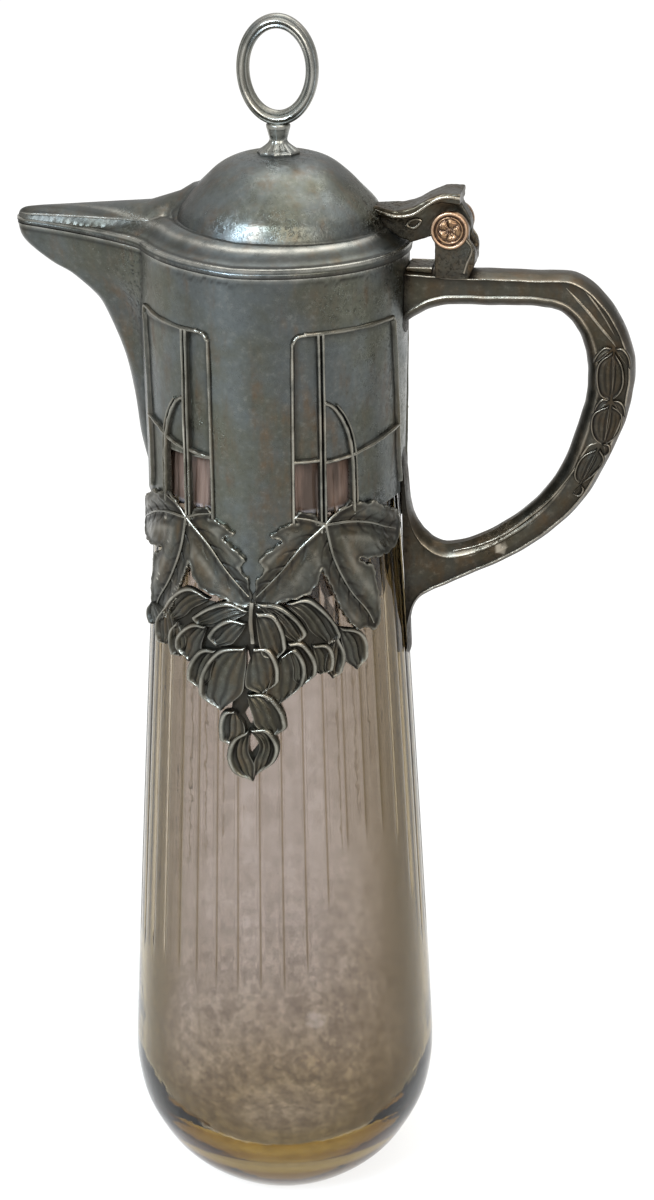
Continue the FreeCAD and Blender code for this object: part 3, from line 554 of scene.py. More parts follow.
def from_front(s, z, height, side=1):
    """Point at an arc length s from the front line (side 1) or the back line (side -1)."""
    turn = s / (foot_line(z) + 1)
    radius = foot_line(z) + height
    return np.stack([radius * np.sin(turn), -side * radius * np.cos(turn), z + 0 * s], -1)


def seam_height(x):
    """Height of the seam between collar and lid: flat, then rising along the beak."""
    return SEAM + np.maximum(0, SEAM_BEND - x) * (BEAK_SEAM - SEAM) / (SEAM_BEND - BEAK_TIP)


def panel_angle(azimuth):
    """Degrees from the nearer panel's centre line, positive towards the handle."""
    azimuth = (azimuth + 180) % 360 - 180
    return 90 - np.abs(azimuth)


def between(value, low, high):
    """Signed distance into a range."""
    return np.minimum(value - low, high - value)


# ---------------------------------------------------------------- glass

def make_glass():
    cuts = 40
    pitch = 360 / cuts
    shares = np.array([-0.66, -0.33, 0, 0.33, 0.66, 2.4, 4.5, 6.6])
    azimuth = (np.arange(cuts)[:, None] * pitch + 2 + shares).ravel()
    in_cut = np.tile(np.array([0, 0.55, 1, 0.55, 0, 0, 0, 0]), cuts)
    centre = np.repeat(np.arange(cuts) * pitch + 2, len(shares))
    centre = (centre + 180) % 360 - 180
    lower_end = 84 + 48 * (1 - step(np.abs(np.abs(centre) - 40), 8, 36))

    foot_turn = -math.asin(BULB_HEIGHT / BULB_RADIUS)
    bulb = np.linspace(foot_turn, math.radians(3.2), 34)
    rise = np.linspace(46, GLASS_HIGH[2], 84)
    ripples = [0.14 * math.sin(16 * t) * math.exp(-(((t + 0.5) / 0.42) ** 2)) for t in bulb]
    outer = [
        ((BULB_RADIUS - 0.15 + r) * math.cos(t), BULB_HEIGHT + BULB_RADIUS * math.sin(t))
        for t, r in zip(bulb, ripples)
    ]
    outer += [(wall_radius(z), z) for z in rise]
    inner_radius, base, wall = 46.8, 7.0, 2.4
    inner_bulb = np.linspace(math.radians(3.2), math.radians(-89), 30)
    inner = [(wall_radius(z, wall), z) for z in np.linspace(GLASS_HIGH[2], 59, 46)]
    drop = 38.5
    inner += [
        (inner_radius * math.cos(t) ** 0.86 if t < 0 else inner_radius * math.cos(t),
         base + drop - drop * abs(math.sin(t)) ** 0.92 * (1 if t < 0 else -0.3))
        for t in inner_bulb
    ]
    turn = np.radians(azimuth)
    rows, marks, stains = [], [], []
    for number, (radius, z) in enumerate(outer + inner):
        depth = np.zeros(len(turn))
        if number < len(outer):
            depth = in_cut * step(z, lower_end, lower_end + 9) * (1 - step(z, 252, 258))
        reach = radius - 0.22 * depth
        rows.append(np.stack([reach * np.cos(turn), reach * np.sin(turn), np.full(len(turn), z)], -1))
        marks.append(depth)
        low = 0.95 * (1 - step(np.array(z), 10, 34)) * (number < len(outer))
        stains.append(np.full(len(turn), low))
    points, faces = loft(rows)
    batch = Batch()
    batch.add(points, faces, cut=np.concatenate(marks), amber=np.concatenate(stains))
    return batch.make("cut_glass_body", MATERIALS["glass"], "jug", ["glass_body"], crease=50)


# ---------------------------------------------------------------- collar

PANES = ((18.4, 29.6), (32.0, 44.2))
PANE_LOW, PANE_HIGH = 240.0, 258.2
FRAME_INNER = 17.7
FRAME_TOP = 297.0
CHANNEL_SILL = 293.0
FRAME_OUTER = {1: [(71.0, 297), (71.7, 292.5), (76.3, 270), (79.1, 254), (81.9, 243.8)],
               -1: [(62, 299), (61.0, 292), (60.5, 270), (61, 250), (62, 243.0)]}


def tongue_low(x):
    """Lower edge of the collar: a V at front and back, level at the sides."""
    return np.interp(np.abs(x), [0, 3, 25, 60], [215.5, 215.5, 240, 240])


def window_depth(azimuth, z):
    """Signed distance in millimetres into the sunk window fields."""
    angle = panel_angle(azimuth)
    edge = {}
    for hand in (1, -1):
        line = np.array(FRAME_OUTER[hand])[::-1]
        edge[hand] = np.interp(z, line[:, 1], line[:, 0])
    outer = np.where(angle > 0, edge[1], edge[-1])
    across = between(np.abs(angle), FRAME_INNER, outer) * 0.7
    return np.minimum(across, FRAME_TOP - z)


def collar_inside(azimuth, z):
    x = 40 * np.cos(np.radians(azimuth))
    y = 40 * np.sin(np.radians(azimuth))
    angle = np.abs(panel_angle(azimuth))
    depth = np.minimum(seam_height(x) - z, (z - tongue_low(x)) * 0.7)
    for low, high in PANES:
        pane = np.minimum(between(angle, low, high) * 0.7, between(z, PANE_LOW, PANE_HIGH))
        depth = np.minimum(depth, -pane)
    channel_half = np.interp(z, [CHANNEL_SILL, SEAM], [11, 19])
    channel = np.minimum(channel_half - np.abs(y), z - CHANNEL_SILL)
    channel = np.where(x < 0, channel, -10)
    return np.minimum(depth, -channel)


def make_collar():
    wall = 1.2
    azimuths = np.linspace(-270, 90, 381)
    heights = np.linspace(COLLAR_LOW[2] - 0.4, BEAK_SEAM, 112)
    where, triangles = clipped_grid(azimuths, heights, collar_inside)
    azimuth, z = where.T
    sunk = step(window_depth(azimuth, z), 0.0, 0.7)
    angle = np.abs(panel_angle(azimuth))
    deeper = step(between(angle, FRAME_INNER + 0.6, 29.6) * 0.7, 0, 0.5) * step(between(z, PANE_LOW, FRAME_TOP - 1), 0, 0.5)
    surface = -0.05 - 0.45 * sunk - 0.25 * deeper
    x = 40 * np.cos(np.radians(azimuth))
    under_seam = seam_height(x) - z
    lip = bump(under_seam, 0.0, 0.45)
    ragged = 1.7 + 0.3 * np.sin(azimuth * 0.31) + 0.2 * np.sin(azimuth * 1.3 + 1) + 0.15 * np.sin(azimuth * 4.1)
    chips = bump(under_seam, ragged, 0.45) * (0.5 + 0.5 * np.sin(azimuth * 0.11 + 7))
    # The lip under the seam gets a painted highlight line; the dents below it and the sunk window fields near their
    # frames get painted shade and grime.
    dirt = 0.9 * chips + 0.6 * sunk * (1 - step(window_depth(azimuth, z), 0.6, 3.0))
    outer = on_collar(azimuth, z, surface - 0.12 * chips)
    inner = on_collar(azimuth, z, -0.05 - wall)
    points, faces, back = shell(outer, inner, triangles)
    batch = Batch()
    spout_side = bump((azimuth + 180 + 360) % 360 - 180, 0, 60)
    batch.add(points, faces, wear=doubled(0.8 * lip, back), dirt=doubled(dirt, back), pits=doubled(0.25 * spout_side, back))
    return batch.make("collar_skin", MATERIALS["pewter"], "jug", ["collar_sleeve"], crease=30)


# ---------------------------------------------------------------- window tracery

STALK = ((29.2, 31.2), (31.2, 33.2))
ARCH = ((31.0, 276.3), (35.2, 274.6), (39.6, 270.2), (43.0, 264.4), (44.8, 257), (45.4, 248), (45.6, 240.5))
CROSS_BARS = {
    1: (((31.5, 258.0), (38, 258.4), (45.0, 258.9)), ((45, 258.9), (56, 260.4), (66.7, 261.8), (77.6, 262.6))),
    -1: (((31.5, 260.2), (38.8, 261.3), (45, 262.8)), ((45, 262.8), (52, 264.6), (61, 265.8))),
}
SILLS = {1: ((18, 258.8), (24, 258.8), (30, 258.9)), -1: ((18, 259.1), (24, 259.6), (30, 260.4))}


def ribbon(batch, path, side, hand, width, height, wear=0.75):
    """A half-round raised line on the collar through points of (degrees from the panel's centre, height)."""
    line = curve(path, 9)
    angle, z = line.T
    azimuth = side * (hand * angle - 90)
    across_samples = np.array([-0.5, -0.46, -0.34, -0.18, 0, 0.18, 0.34, 0.46, 0.5])
    lifts = np.array([-0.7, 0.35, 0.75, 0.95, 1.0, 0.95, 0.75, 0.35, -0.7])
    foot = on_collar(azimuth, z, -0.05)
    along = np.gradient(foot, axis=0)
    along /= np.linalg.norm(along, axis=1)[:, None]
    outward = foot * [1, 1, 0]
    outward /= np.linalg.norm(outward, axis=1)[:, None]
    across = np.cross(along, outward)
    swell = 1 + 0.07 * np.sin(np.arange(len(line)) * 0.9 + z[0]) + 0.04 * random.standard_normal(len(line))
    rows = (
        foot[:, None]
        + across[:, None] * (across_samples[:, None] * width) * swell[:, None, None]
        + outward[:, None] * (lifts[:, None] * height) * swell[:, None, None]
    )
    points, faces = loft(rows)
    # Painted highlight and wear along the crest; painted shade and grime along both feet.
    crest = np.tile(bump(across_samples, 0, 0.22), len(line)) * wear
    foot_grime_and_shade = np.tile(step(np.abs(across_samples), 0.38, 0.5), len(line)) * 0.7
    batch.add(points, faces, wear=crest, dirt=foot_grime_and_shade)


def make_tracery(side, name, node):
    batch = Batch()
    top = FRAME_TOP
    for hand in (1, -1):
        outer = FRAME_OUTER[hand]
        # The inner frame line gets a stronger painted highlight and wear on one hand of each panel than on the other.
        inner_wear_and_highlight = 1.0 if hand * side > 0 else 0.75
        inner = [(FRAME_INNER, 238.5), (FRAME_INNER, 262), (FRAME_INNER, top - 6), (FRAME_INNER + 0.5, top - 2.4)]
        inner += [(FRAME_INNER + 2.4, top - 0.5), (FRAME_INNER + 6, top)]
        ribbon(batch, inner, side, hand, 1.25, 0.85, inner_wear_and_highlight)
        corner = [(FRAME_INNER + 5, top), (32, top), (48, top + (hand < 0) * 1.2)]
        corner += [(outer[0][0] - 5, top + (hand < 0) * 2.4), (outer[0][0] - 1, top - 0.6 + (hand < 0) * 2)]
        ribbon(batch, corner + outer[1:], side, hand, 1.5, 0.75, 0.55)
        for low, high in STALK:
            ribbon(batch, [(high - 1.4, 236.5), (low + 0.3, 262), (low - 0.6, top)], side, hand, 1.15, 0.95, 0.75)
        ribbon(batch, ARCH, side, hand, 1.5, 0.95, 0.8)
        shifted = [(angle + 2.0, z + 0.5) for angle, z in ARCH[1:]]
        ribbon(batch, shifted, side, hand, 1.0, 0.7, 0.6)
        for bar in CROSS_BARS[hand]:
            ribbon(batch, bar, side, hand, 1.25, 0.85, 0.8)
        ribbon(batch, SILLS[hand], side, hand, 1.3, 0.7, 0.6)
    return batch.make(name, MATERIALS["relief"], "jug", [node])


# ---------------------------------------------------------------- leaves

LEAF_OUTLINE = (
    (0.1, 215.2), (0.4, 219.2), (1.2, 223.3), (4.0, 226.4), (1.9, 228.3), (2.9, 230.3), (5.9, 232.6),
    (8.6, 234.6), (5.1, 236.7), (6.9, 238.2), (9.9, 240.0), (13.5, 240.3), (11.7, 242.2), (14.8, 243.8),
    (19.1, 242.3), (20.0, 239.5), (22.5, 239.5), (27.3, 243.2), (30.8, 245.0), (35.4, 243.4), (40.5, 242.7),
    (46.1, 239.3), (51.8, 236.9), (55.1, 231.2), (54.3, 228.3), (50.5, 225.4), (44.5, 224.7), (39.7, 225.1),
    (33.8, 226.3), (39.2, 223.0), (41.0, 217.1), (42.3, 210.3), (42.9, 205.3), (40.7, 201.8), (37.4, 203.8),
    (33.4, 203.9), (29.9, 206.7), (26.5, 212.0), (24.0, 219.0), (21.1, 225.2), (19.8, 221.6), (17.8, 218.2),
    (14.1, 216.9), (9.5, 216.3), (6.6, 214.4), (3.0, 213.8),
)
LEAF_NODE = (22.2, 239.0)
LEAF_VEINS = (
    ((14.5, 232.6), (8.2, 225.0), (1.2, 217.5)),
    ((25.0, 227.9), (30.5, 217.2), (36.8, 209.4), (39.6, 204.6)),
    ((30.5, 238.6), (38.0, 236.6), (45.2, 233.3), (51.5, 230.6)),
    ((25.7, 242.0), (31.1, 243.6)),
    ((17.3, 241.0), (12.9, 242.0)),
)


def side_veins(vein):
    """Fine veins that leave a main vein on both sides, leaning towards its tip."""
    line = curve([LEAF_NODE, *vein], 10)
    lengths = np.concatenate([[0], np.cumsum(np.hypot(*np.diff(line, axis=0).T))])
    found = []
    for number, place in enumerate(np.arange(5.0, lengths[-1] - 2.0, 3.1)):
        x, y = (np.interp(place, lengths, line[:, k]) for k in (0, 1))
        ahead = np.array([np.interp(place + 1, lengths, line[:, k]) for k in (0, 1)]) - (x, y)
        heading = math.atan2(ahead[1], ahead[0])
        reach = 7.5 * (1 - 0.55 * place / lengths[-1])
        lean = math.radians(44) * (1 if number % 2 else -1)
        middle = (x + 0.55 * reach * math.cos(heading + lean), y + 0.55 * reach * math.sin(heading + lean))
        end = (x + reach * math.cos(heading + 0.75 * lean), y + reach * math.sin(heading + 0.75 * lean))
        found.append(curve([(x, y), middle, end], 4))
    return found


def make_leaf(side, hand, name, node):
    outline = np.array(LEAF_OUTLINE)
    lengths = np.concatenate([[0], np.cumsum(np.hypot(*np.diff(np.vstack([outline, outline[:1]]), axis=0).T))])

    def inside(s, z):
        depth = inside_distance(outline, s, z)
        teeth = 0.3 * np.sin(s * 1.5 + z * 0.9) + 0.24 * np.sin(s * 1.1 - z * 1.7)
        return depth + np.where(np.abs(depth) < 1.4, teeth * (1 - np.abs(depth) / 1.4), 0)

    grain = 0.34
    us = np.arange(outline[:, 0].min() - 1, outline[:, 0].max() + 1, grain)
    vs = np.arange(outline[:, 1].min() - 1, outline[:, 1].max() + 1, grain)
    where, triangles = clipped_grid(us, vs, inside)
    s, z = where.T
    depth = np.maximum(inside(s, z), 0)
    near = np.full(len(s), 1e9)
    vein = np.zeros(len(s))
    for points in LEAF_VEINS:
        gap, place = line_distance(curve([LEAF_NODE, *points], 8), s, z)
        near = np.minimum(near, gap)
        vein = np.maximum(vein, bump(gap, 0, 0.8 - 0.3 * place) * (1 - 0.45 * place))
    fine = np.zeros(len(s))
    for points in LEAF_VEINS[:3]:
        for line in side_veins(points):
            gap, place = line_distance(line, s, z)
            fine = np.maximum(fine, bump(gap, 0, 0.34) * (1 - 0.6 * place))
    quilt = 1 - np.exp(-((near / 4.2) ** 2))
    rim = bump(depth, 0.42, 0.36)
    wave = 0.16 * np.sin(s * 0.55 + z * 0.35) + 0.12 * np.sin(z * 0.8 - s * 0.3)
    furrows = 0.07 * np.sin(s * 1.9 + z * 1.1 + 2 * np.sin(z * 0.5)) * quilt
    height = 0.55 + 0.75 * quilt + wave * quilt + furrows - 0.34 * fine + 0.3 * rim
    height = height * (0.45 + 0.55 * np.sqrt(1 - (1 - np.clip(depth / 0.55, 0, 1)) ** 2))
    # Painted shade and grime beside the main veins, just inside the edge and in the fine veins; painted highlight and
    # wear on the rim and the swells between the veins.
    dirt = 0.85 * bump(near, 1.2, 0.7) * (1 - vein) + 0.6 * bump(depth, 1.35, 0.6) + 0.8 * fine
    wear = np.maximum(0.45 * rim, 0.3 * bump(quilt, 0.75, 0.15) * (1 - fine))
    outer = from_front(hand * s, z, height, side)
    inner = from_front(hand * s, z, -0.02, side)
    points, faces, back = shell(outer, inner, triangles)
    batch = Batch()
    batch.add(points, faces, wear=doubled(wear, back), dirt=doubled(dirt, back))
    for points in LEAF_VEINS:
        line = curve([LEAF_NODE, *points], 10)
        share = np.linspace(0, 1, len(line))
        centre = from_front(hand * line[:, 0], line[:, 1], 0.78 + 0 * share, side)
        # Painted highlight and wear along the vein wires.
        add_tube(batch, centre, 0.52 - 0.34 * share, wear=0.45)
    return batch.make(name, MATERIALS["relief"], "jug", [node], crease=55)


# ---------------------------------------------------------------- hanging bunches

# Each scale of the bunch: level in the pile, then its root, two places on its outer edge, its tip and one
# place on its inner edge, as (arc from the centre line, height).
SCALES = (
    (0, (9.9, 215.9), (17.7, 216.2), (25.6, 206.3), (23.2, 201.0), (16.0, 210.4)),
    (0, (-13.0, 215.6), (-22.3, 217.0), (-31.3, 209.0), (-30.5, 203.5), (-20.3, 211.5)),
    (1, (26.1, 206.7), (33.7, 203.4), (36.2, 197.1), (32.8, 191.4), (28.6, 198.9)),
    (1, (-40.8, 206.9), (-44.3, 203.3), (-43.4, 200.1), (-37.5, 200.5), (-33.9, 205.8)),
    (1, (-31.7, 208.8), (-36.8, 202.5), (-36.9, 197.3), (-32.5, 195.9), (-28.2, 202.5)),
    (1, (25.6, 204.6), (28.2, 198.4), (27.6, 193.7), (24.4, 190.3), (22.5, 196.5)),
    (1, (17.6, 202.3), (23.2, 201.0), (24.4, 194.6), (20.4, 192.3), (18.2, 196.0)),
    (1, (-26.0, 205.4), (-29.6, 201.2), (-29.4, 195.5), (-25.5, 194.1), (-23.2, 200.8)),
    (2, (0.9, 216.1), (8.5, 215.0), (15.0, 208.3), (13.9, 202.7), (8.0, 209.7)),
    (2, (-0.5, 213.2), (-8.3, 215.2), (-17.3, 210.1), (-18.0, 205.8), (-7.6, 209.9)),
    (3, (-14.1, 206.9), (-20.4, 206.0), (-26.0, 199.3), (-21.3, 194.0), (-16.7, 201.3)),
    (3, (10.3, 203.7), (15.2, 202.9), (18.9, 195.4), (14.6, 189.0), (12.6, 195.9)),
    (4, (1.1, 213.3), (6.6, 212.0), (9.6, 204.1), (7.2, 198.1), (3.1, 202.9)),
    (4, (-1.4, 209.7), (-7.6, 210.0), (-12.9, 205.2), (-11.4, 200.8), (-5.0, 205.1)),
    (5, (-10.8, 200.1), (-16.8, 198.7), (-21.0, 190.8), (-17.3, 186.1), (-13.2, 193.5)),
    (5, (8.5, 199.5), (12.6, 201.1), (15.0, 193.0), (7.3, 183.2), (5.9, 191.0)),
    (6, (0.4, 202.2), (5.1, 201.3), (7.5, 193.9), (3.1, 187.2), (-0.9, 193.0)),
    (6, (-1.7, 202.3), (-10.6, 199.3), (-16.0, 188.5), (-9.9, 180.4), (-3.4, 192.7)),
    (7, (-1.6, 187.5), (4.9, 187.0), (9.3, 179.5), (5.7, 173.1), (0.9, 181.1)),
    (7, (-5.3, 181.6), (-9.0, 180.0), (-9.8, 173.5), (-6.8, 169.8), (-3.0, 176.6)),
    (8, (-0.8, 176.0), (-6.2, 171.7), (-6.9, 164.0), (0.2, 158.8), (-1.7, 168.6)),
    (8, (-0.8, 176.0), (4.9, 176.0), (7.5, 169.0), (0.7, 160.6), (2.7, 170.7)),
)
BUNCH_EYES = (
    ((-1.7, 200.9), (-0.1, 194.2), (-2.4, 189.4), (-4.3, 195.0)),
    ((0.1, 185.0), (1.1, 181.6), (-0.8, 176.3), (-2.7, 180.2)),
    ((0.2, 175.2), (2.4, 171.8), (-0.9, 167.2), (-1.7, 171.6)),
)
BUNCH_HALF = ((0, 160.6), (3.2, 164.0), (6.2, 170.5), (7.6, 177.5), (6.6, 184.0), (12.8, 190.5), (16.8, 194.5), (23.0, 193.0),
              (26.6, 196.0), (32.6, 195.5), (34.0, 201.5), (27.4, 205.4), (23.6, 210.0), (17.6, 214.6), (8.6, 214.2),
              (3, 216.6))


def scale_relief(batch, place, root, edge_1, edge_2, tip, inner, lift, thick, bead=1.15, lines=4, plump=1.0):
    """A crescent scale: a thick round outer rim, a hollow fluted inside, a raised root."""
    count = 30
    outer_line = curve([root, edge_1, edge_2, tip], 12)
    inner_line = curve([root, inner, tip], 12)
    share = np.linspace(0.012, 0.988, count)
    outer_edge = np.stack([np.interp(share, np.linspace(0, 1, len(outer_line)), outer_line[:, k]) for k in (0, 1)], 1)
    inner_edge = np.stack([np.interp(share, np.linspace(0, 1, len(inner_line)), inner_line[:, k]) for k in (0, 1)], 1)
    spread = outer_edge - inner_edge
    outer_edge = outer_edge + spread * (0.1 + 0.55 * bump(share, 0.89, 0.12))[:, None] * plump
    inner_edge = inner_edge - spread * (0.1 + 0.25 * bump(share, 0.8, 0.2))[:, None] * plump
    width = np.linalg.norm(outer_edge - inner_edge, axis=1)
    across = np.concatenate([[0, 0.004], np.linspace(0.05, 0.6, 14), np.linspace(0.64, 0.97, 14), [0.996, 1]])
    from_rim = (1 - across)[None] * width[:, None]
    ends = np.sqrt(np.clip(np.sin(share * math.pi), 0, 1))[:, None]
    rim_width = np.minimum(bead, 0.45 * width + 0.05)[:, None]
    rim = np.sqrt(np.clip(1 - ((from_rim - rim_width) / rim_width) ** 2, 0, 1))
    flutes = np.cos(across[None] * math.pi * 2 * lines) * 0.15 * step(from_rim, 1.6, 2.6)
    hollow = 0.42 + 0.3 * np.cos(across[None] * math.pi * 0.9) + flutes
    height = np.maximum(thick * hollow, thick * rim * 0.98) * (0.35 + 0.65 * ends)
    height += 0.3 * thick * bump(share, 0.06, 0.09)[:, None] * np.sin(across[None] * math.pi)
    height[:, [0, -1]] = -0.6
    height = lift + height
    height[:, [0, -1]] = np.minimum(0.1, lift)
    where = inner_edge[:, None] + (outer_edge - inner_edge)[:, None] * across[None, :, None]
    rows = place(where[..., 0], where[..., 1], height)
    points, faces = loft(rows)
    # Painted highlight and wear on the rim's crest; painted shade and grime inside the rim, near the inner edge and
    # in the flutes.
    wear = 0.7 * step(rim, 0.86, 1.0) * step(from_rim, 0.12, 0.4) + 0 * height
    trough = np.maximum(-np.cos(across[None] * math.pi * 2 * lines), 0) * step(from_rim, 1.6, 2.4)
    dirt = 0.75 * bump(from_rim, 2.1 * rim_width, 0.5) + 0.4 * (1 - step(across[None] * width[:, None], 0.2, 1.4))
    dirt = dirt + 0.75 * trough
    batch.add(points, faces, wear=wear.ravel(), dirt=dirt.ravel())


def make_bunch(side, name, node):
    batch = Batch()
    left = [(-s, z) for s, z in BUNCH_HALF[:0:-1]]
    outline = np.array(list(BUNCH_HALF) + left)
    eyes = [np.array(eye) for eye in BUNCH_EYES]

    def inside(s, z):
        depth = inside_distance(outline, s, z)
        for eye in eyes:
            depth = np.minimum(depth, -inside_distance(eye, s, z))
        return depth

    where, triangles = clipped_grid(np.arange(-36, 36.1, 0.6), np.arange(159, 218, 0.6), inside)
    s, z = where.T
    depth = np.maximum(inside(s, z), 0)
    top = from_front(s, z, 0.25 + 0.45 * step(depth, 0, 1.5), side)
    points, faces, back = shell(top, from_front(s, z, -0.02, side), triangles)
    # Painted shade: the sheet under the scales is darkened all over so the gaps between the scales look dark.
    batch.add(points, faces, dirt=doubled(0.8 + 0 * s, back))

    def place(s, z, height):
        return from_front(s, z, height, side)

    stem_z = np.linspace(216.4, 203.5, 12)
    stem = from_front(0.3 * np.sin(0.35 * stem_z), stem_z, 2.2 + 0 * stem_z, side)
    # A little painted highlight and wear on the stem.
    add_tube(batch, stem, 0.75, wear=0.1)
    for level, root, edge_1, edge_2, tip, inner in SCALES:
        scale_relief(batch, place, root, edge_1, edge_2, tip, inner, 0.2 + 0.2 * level, 1.75)
    return batch.make(name, MATERIALS["relief"], "jug", [node], crease=50)


# ---------------------------------------------------------------- spout

# Level, tip x, tip radius, degrees from the spout's centre line to the root on the collar, and how long the
# flank runs along the collar and back from the tip.
SPOUT_LEVELS = (
    (243.0, -39.7, 8.0, 10.0, 1.0, 1.0),
    (254.0, -42.2, 8.0, 15.0, 3.0, 3.0),
    (266.7, -43.7, 8.0, 18.0, 3.0, 3.0),
    (279.3, -46.3, 7.5, 21.0, 4.0, 3.5),
    (291.7, -51.2, 7.0, 24.0, 5.0, 4.5),
    (297.7, -55.0, 6.5, 27.0, 5.5, 6.5),
    (302.6, -61.8, 6.0, 30.0, 5.5, 10.0),
    (305.3, -68.8, 5.5, 30.5, 5.5, 14.0),
    (309.4, -76.3, 5.2, 30.5, 5.5, 17.0),
    (SEAM, BEAK_TIP, BEAK_TIP_RADIUS, 30.5, 5.5, 19.0),
)


def beak_line(radius, tip, tip_radius, root, lead, reach):
    """Plan line of the beak from its root on a circle, round the tip, to the other root."""
    root = math.radians(root)
    flank = math.radians(80)
    start = radius * np.array([-math.cos(root), math.sin(root)])
    end = np.array([tip + tip_radius * (1 - math.cos(flank)), tip_radius * math.sin(flank)])
    p1 = start + lead * np.array([-math.sin(root), -math.cos(root)])
    p2 = end + reach * np.array([math.sin(flank), math.cos(flank)])
    t = np.linspace(0, 1, 26, endpoint=False)[:, None]
    side = (1 - t)**3 * start + 3 * (1 - t)**2 * t * p1 + 3 * (1 - t) * t**2 * p2 + t**3 * end
    nose_turn = np.linspace(flank, -flank, 17)
    nose = np.stack([tip + tip_radius * (1 - np.cos(nose_turn)), tip_radius * np.sin(nose_turn)], 1)
    return np.concatenate([side, nose, side[::-1] * [1, -1]])


def make_spout():
    wall = 1.6
    outer_rows, inner_rows = [], []
    for level, tip, tip_radius, root, lead, reach in curve(SPOUT_LEVELS, 6):
        level = min(level, SEAM)
        radius = foot_line(level) - 0.3
        outer = beak_line(radius, tip, tip_radius, root, lead, reach)
        hollow = beak_line(radius, tip + 1.3 * wall, max(tip_radius - wall, 1.5), root - 3.6, lead, reach)
        turn = np.radians(np.linspace(180 - root, 180 + root, len(outer)))
        behind = radius * np.stack([np.cos(turn), np.sin(turn)], 1)
        share = float(step(np.array(level), CHANNEL_SILL - 2.5, CHANNEL_SILL + 1.5))
        inner = behind + share * (hollow - behind)
        rise = step(np.array(level), 298.0, SEAM)
        for line, rows in ((outer, outer_rows), (inner, inner_rows)):
            z = level + (seam_height(line[:, 0]) - SEAM) * rise
            rows.append(np.column_stack([line, z]))
    outer, inner = np.array(outer_rows), np.array(inner_rows)
    points, faces = loft(np.concatenate([outer, inner[:, ::-1]], 1), closed=True, caps=False)
    count = outer.shape[1]
    for first in (0, (len(outer) - 1) * 2 * count):
        for i in range(count - 1):
            faces.append((first + i, first + i + 1, first + 2 * count - 2 - i, first + 2 * count - 1 - i))
    x, y, z = points.T
    root_gap = np.hypot(x, y) - foot_line(z)
    near_root = bump(root_gap, 0.4, 3.4) * bump(z, 302, 12) * (x < 0)
    # Painted highlight and wear along the lip under the seam; painted shade and grime where the spout meets the
    # collar and in a line below the seam.
    lip = bump(seam_height(x) - z, 0, 0.5)
    batch = Batch()
    batch.add(points, faces, wear=0.75 * lip, dirt=0.7 * bump(root_gap, 0, 0.35) + 0.7 * bump(seam_height(x) - z, 1.4, 0.5),
              pits=0.95 * near_root)
    return batch.make("beak_spout", MATERIALS["pewter"], "jug", ["spout"], crease=45)


# ---------------------------------------------------------------- lid

RIM_SECTION = (
    # distance in from the lid's edge, height above the seam
    (0.0, 2.2), (0.3, 2.75), (0.8, 3.0), (1.4, 2.95), (1.9, 3.1), (2.6, 3.45), (3.6, 4.1), (4.6, 4.9), (5.4, 5.75),
    (6.0, 6.35), (6.8, 6.9), (7.6, 7.3), (8.6, 7.75), (9.4, 8.1), (10.0, 8.2), (13.0, 8.3),
)
CROWN = ((-80, 321.9), (-78, 322.4), (-71.1, 323.2), (-52.6, 324.7), (-37.2, 325.9), (-28, 329.0), (-24, 331.5),
         (-20.3, 332.1))
TONGUE = ((-77.5, 0), (-76.7, 2.3), (-74, 3.8), (-70, 4.6), (-60, 6.2), (-50, 8.1), (-42, 9.6), (-36, 11.0), (-33, 10.8),
          (-30, 9.0), (-27, 7.0), (-24, 5.3), (-20, 4.0), (-17, 3.4))
TONGUE_EDGE = ((-78, 321.2), (-70, 321.5), (-60, 321.7), (-50, 321.9), (-40, 322.0), (-33, 322.5), (-30, 324.0),
               (-27, 326.8), (-24, 329.8), (-20, 333.6), (-17, 335.5))


def table_value(table, x):
    xs, values = np.array(table).T
    return np.interp(x, xs, values)


def lid_outline():
    beak = beak_line(LID_RADIUS, BEAK_TIP, BEAK_TIP_RADIUS, 30.5, 5.5, 19.0)
    turn = np.radians(np.linspace(180 + 30.5, 540 - 30.5, 150)[1:-1])
    return np.concatenate([beak, LID_RADIUS * np.stack([np.cos(turn), np.sin(turn)], 1)])


def dome_outer():
    """The dome's outer half section, top to foot."""
    arc = np.radians(np.linspace(80, 15.9, 40))
    drop = 26.7 - 27 * np.sin(arc)
    slimmer = 1.6 * np.sin(math.pi * np.clip(drop / 15, 0, 1)) ** 1.2
    shoulder = list(zip(5.04 + 27 * np.cos(arc) - slimmer, DOME_TOP - drop))
    return [(0.8, DOME_TOP), (4, DOME_TOP), (6.5, DOME_TOP - 0.06), (8.4, DOME_TOP - 0.2)] + shoulder


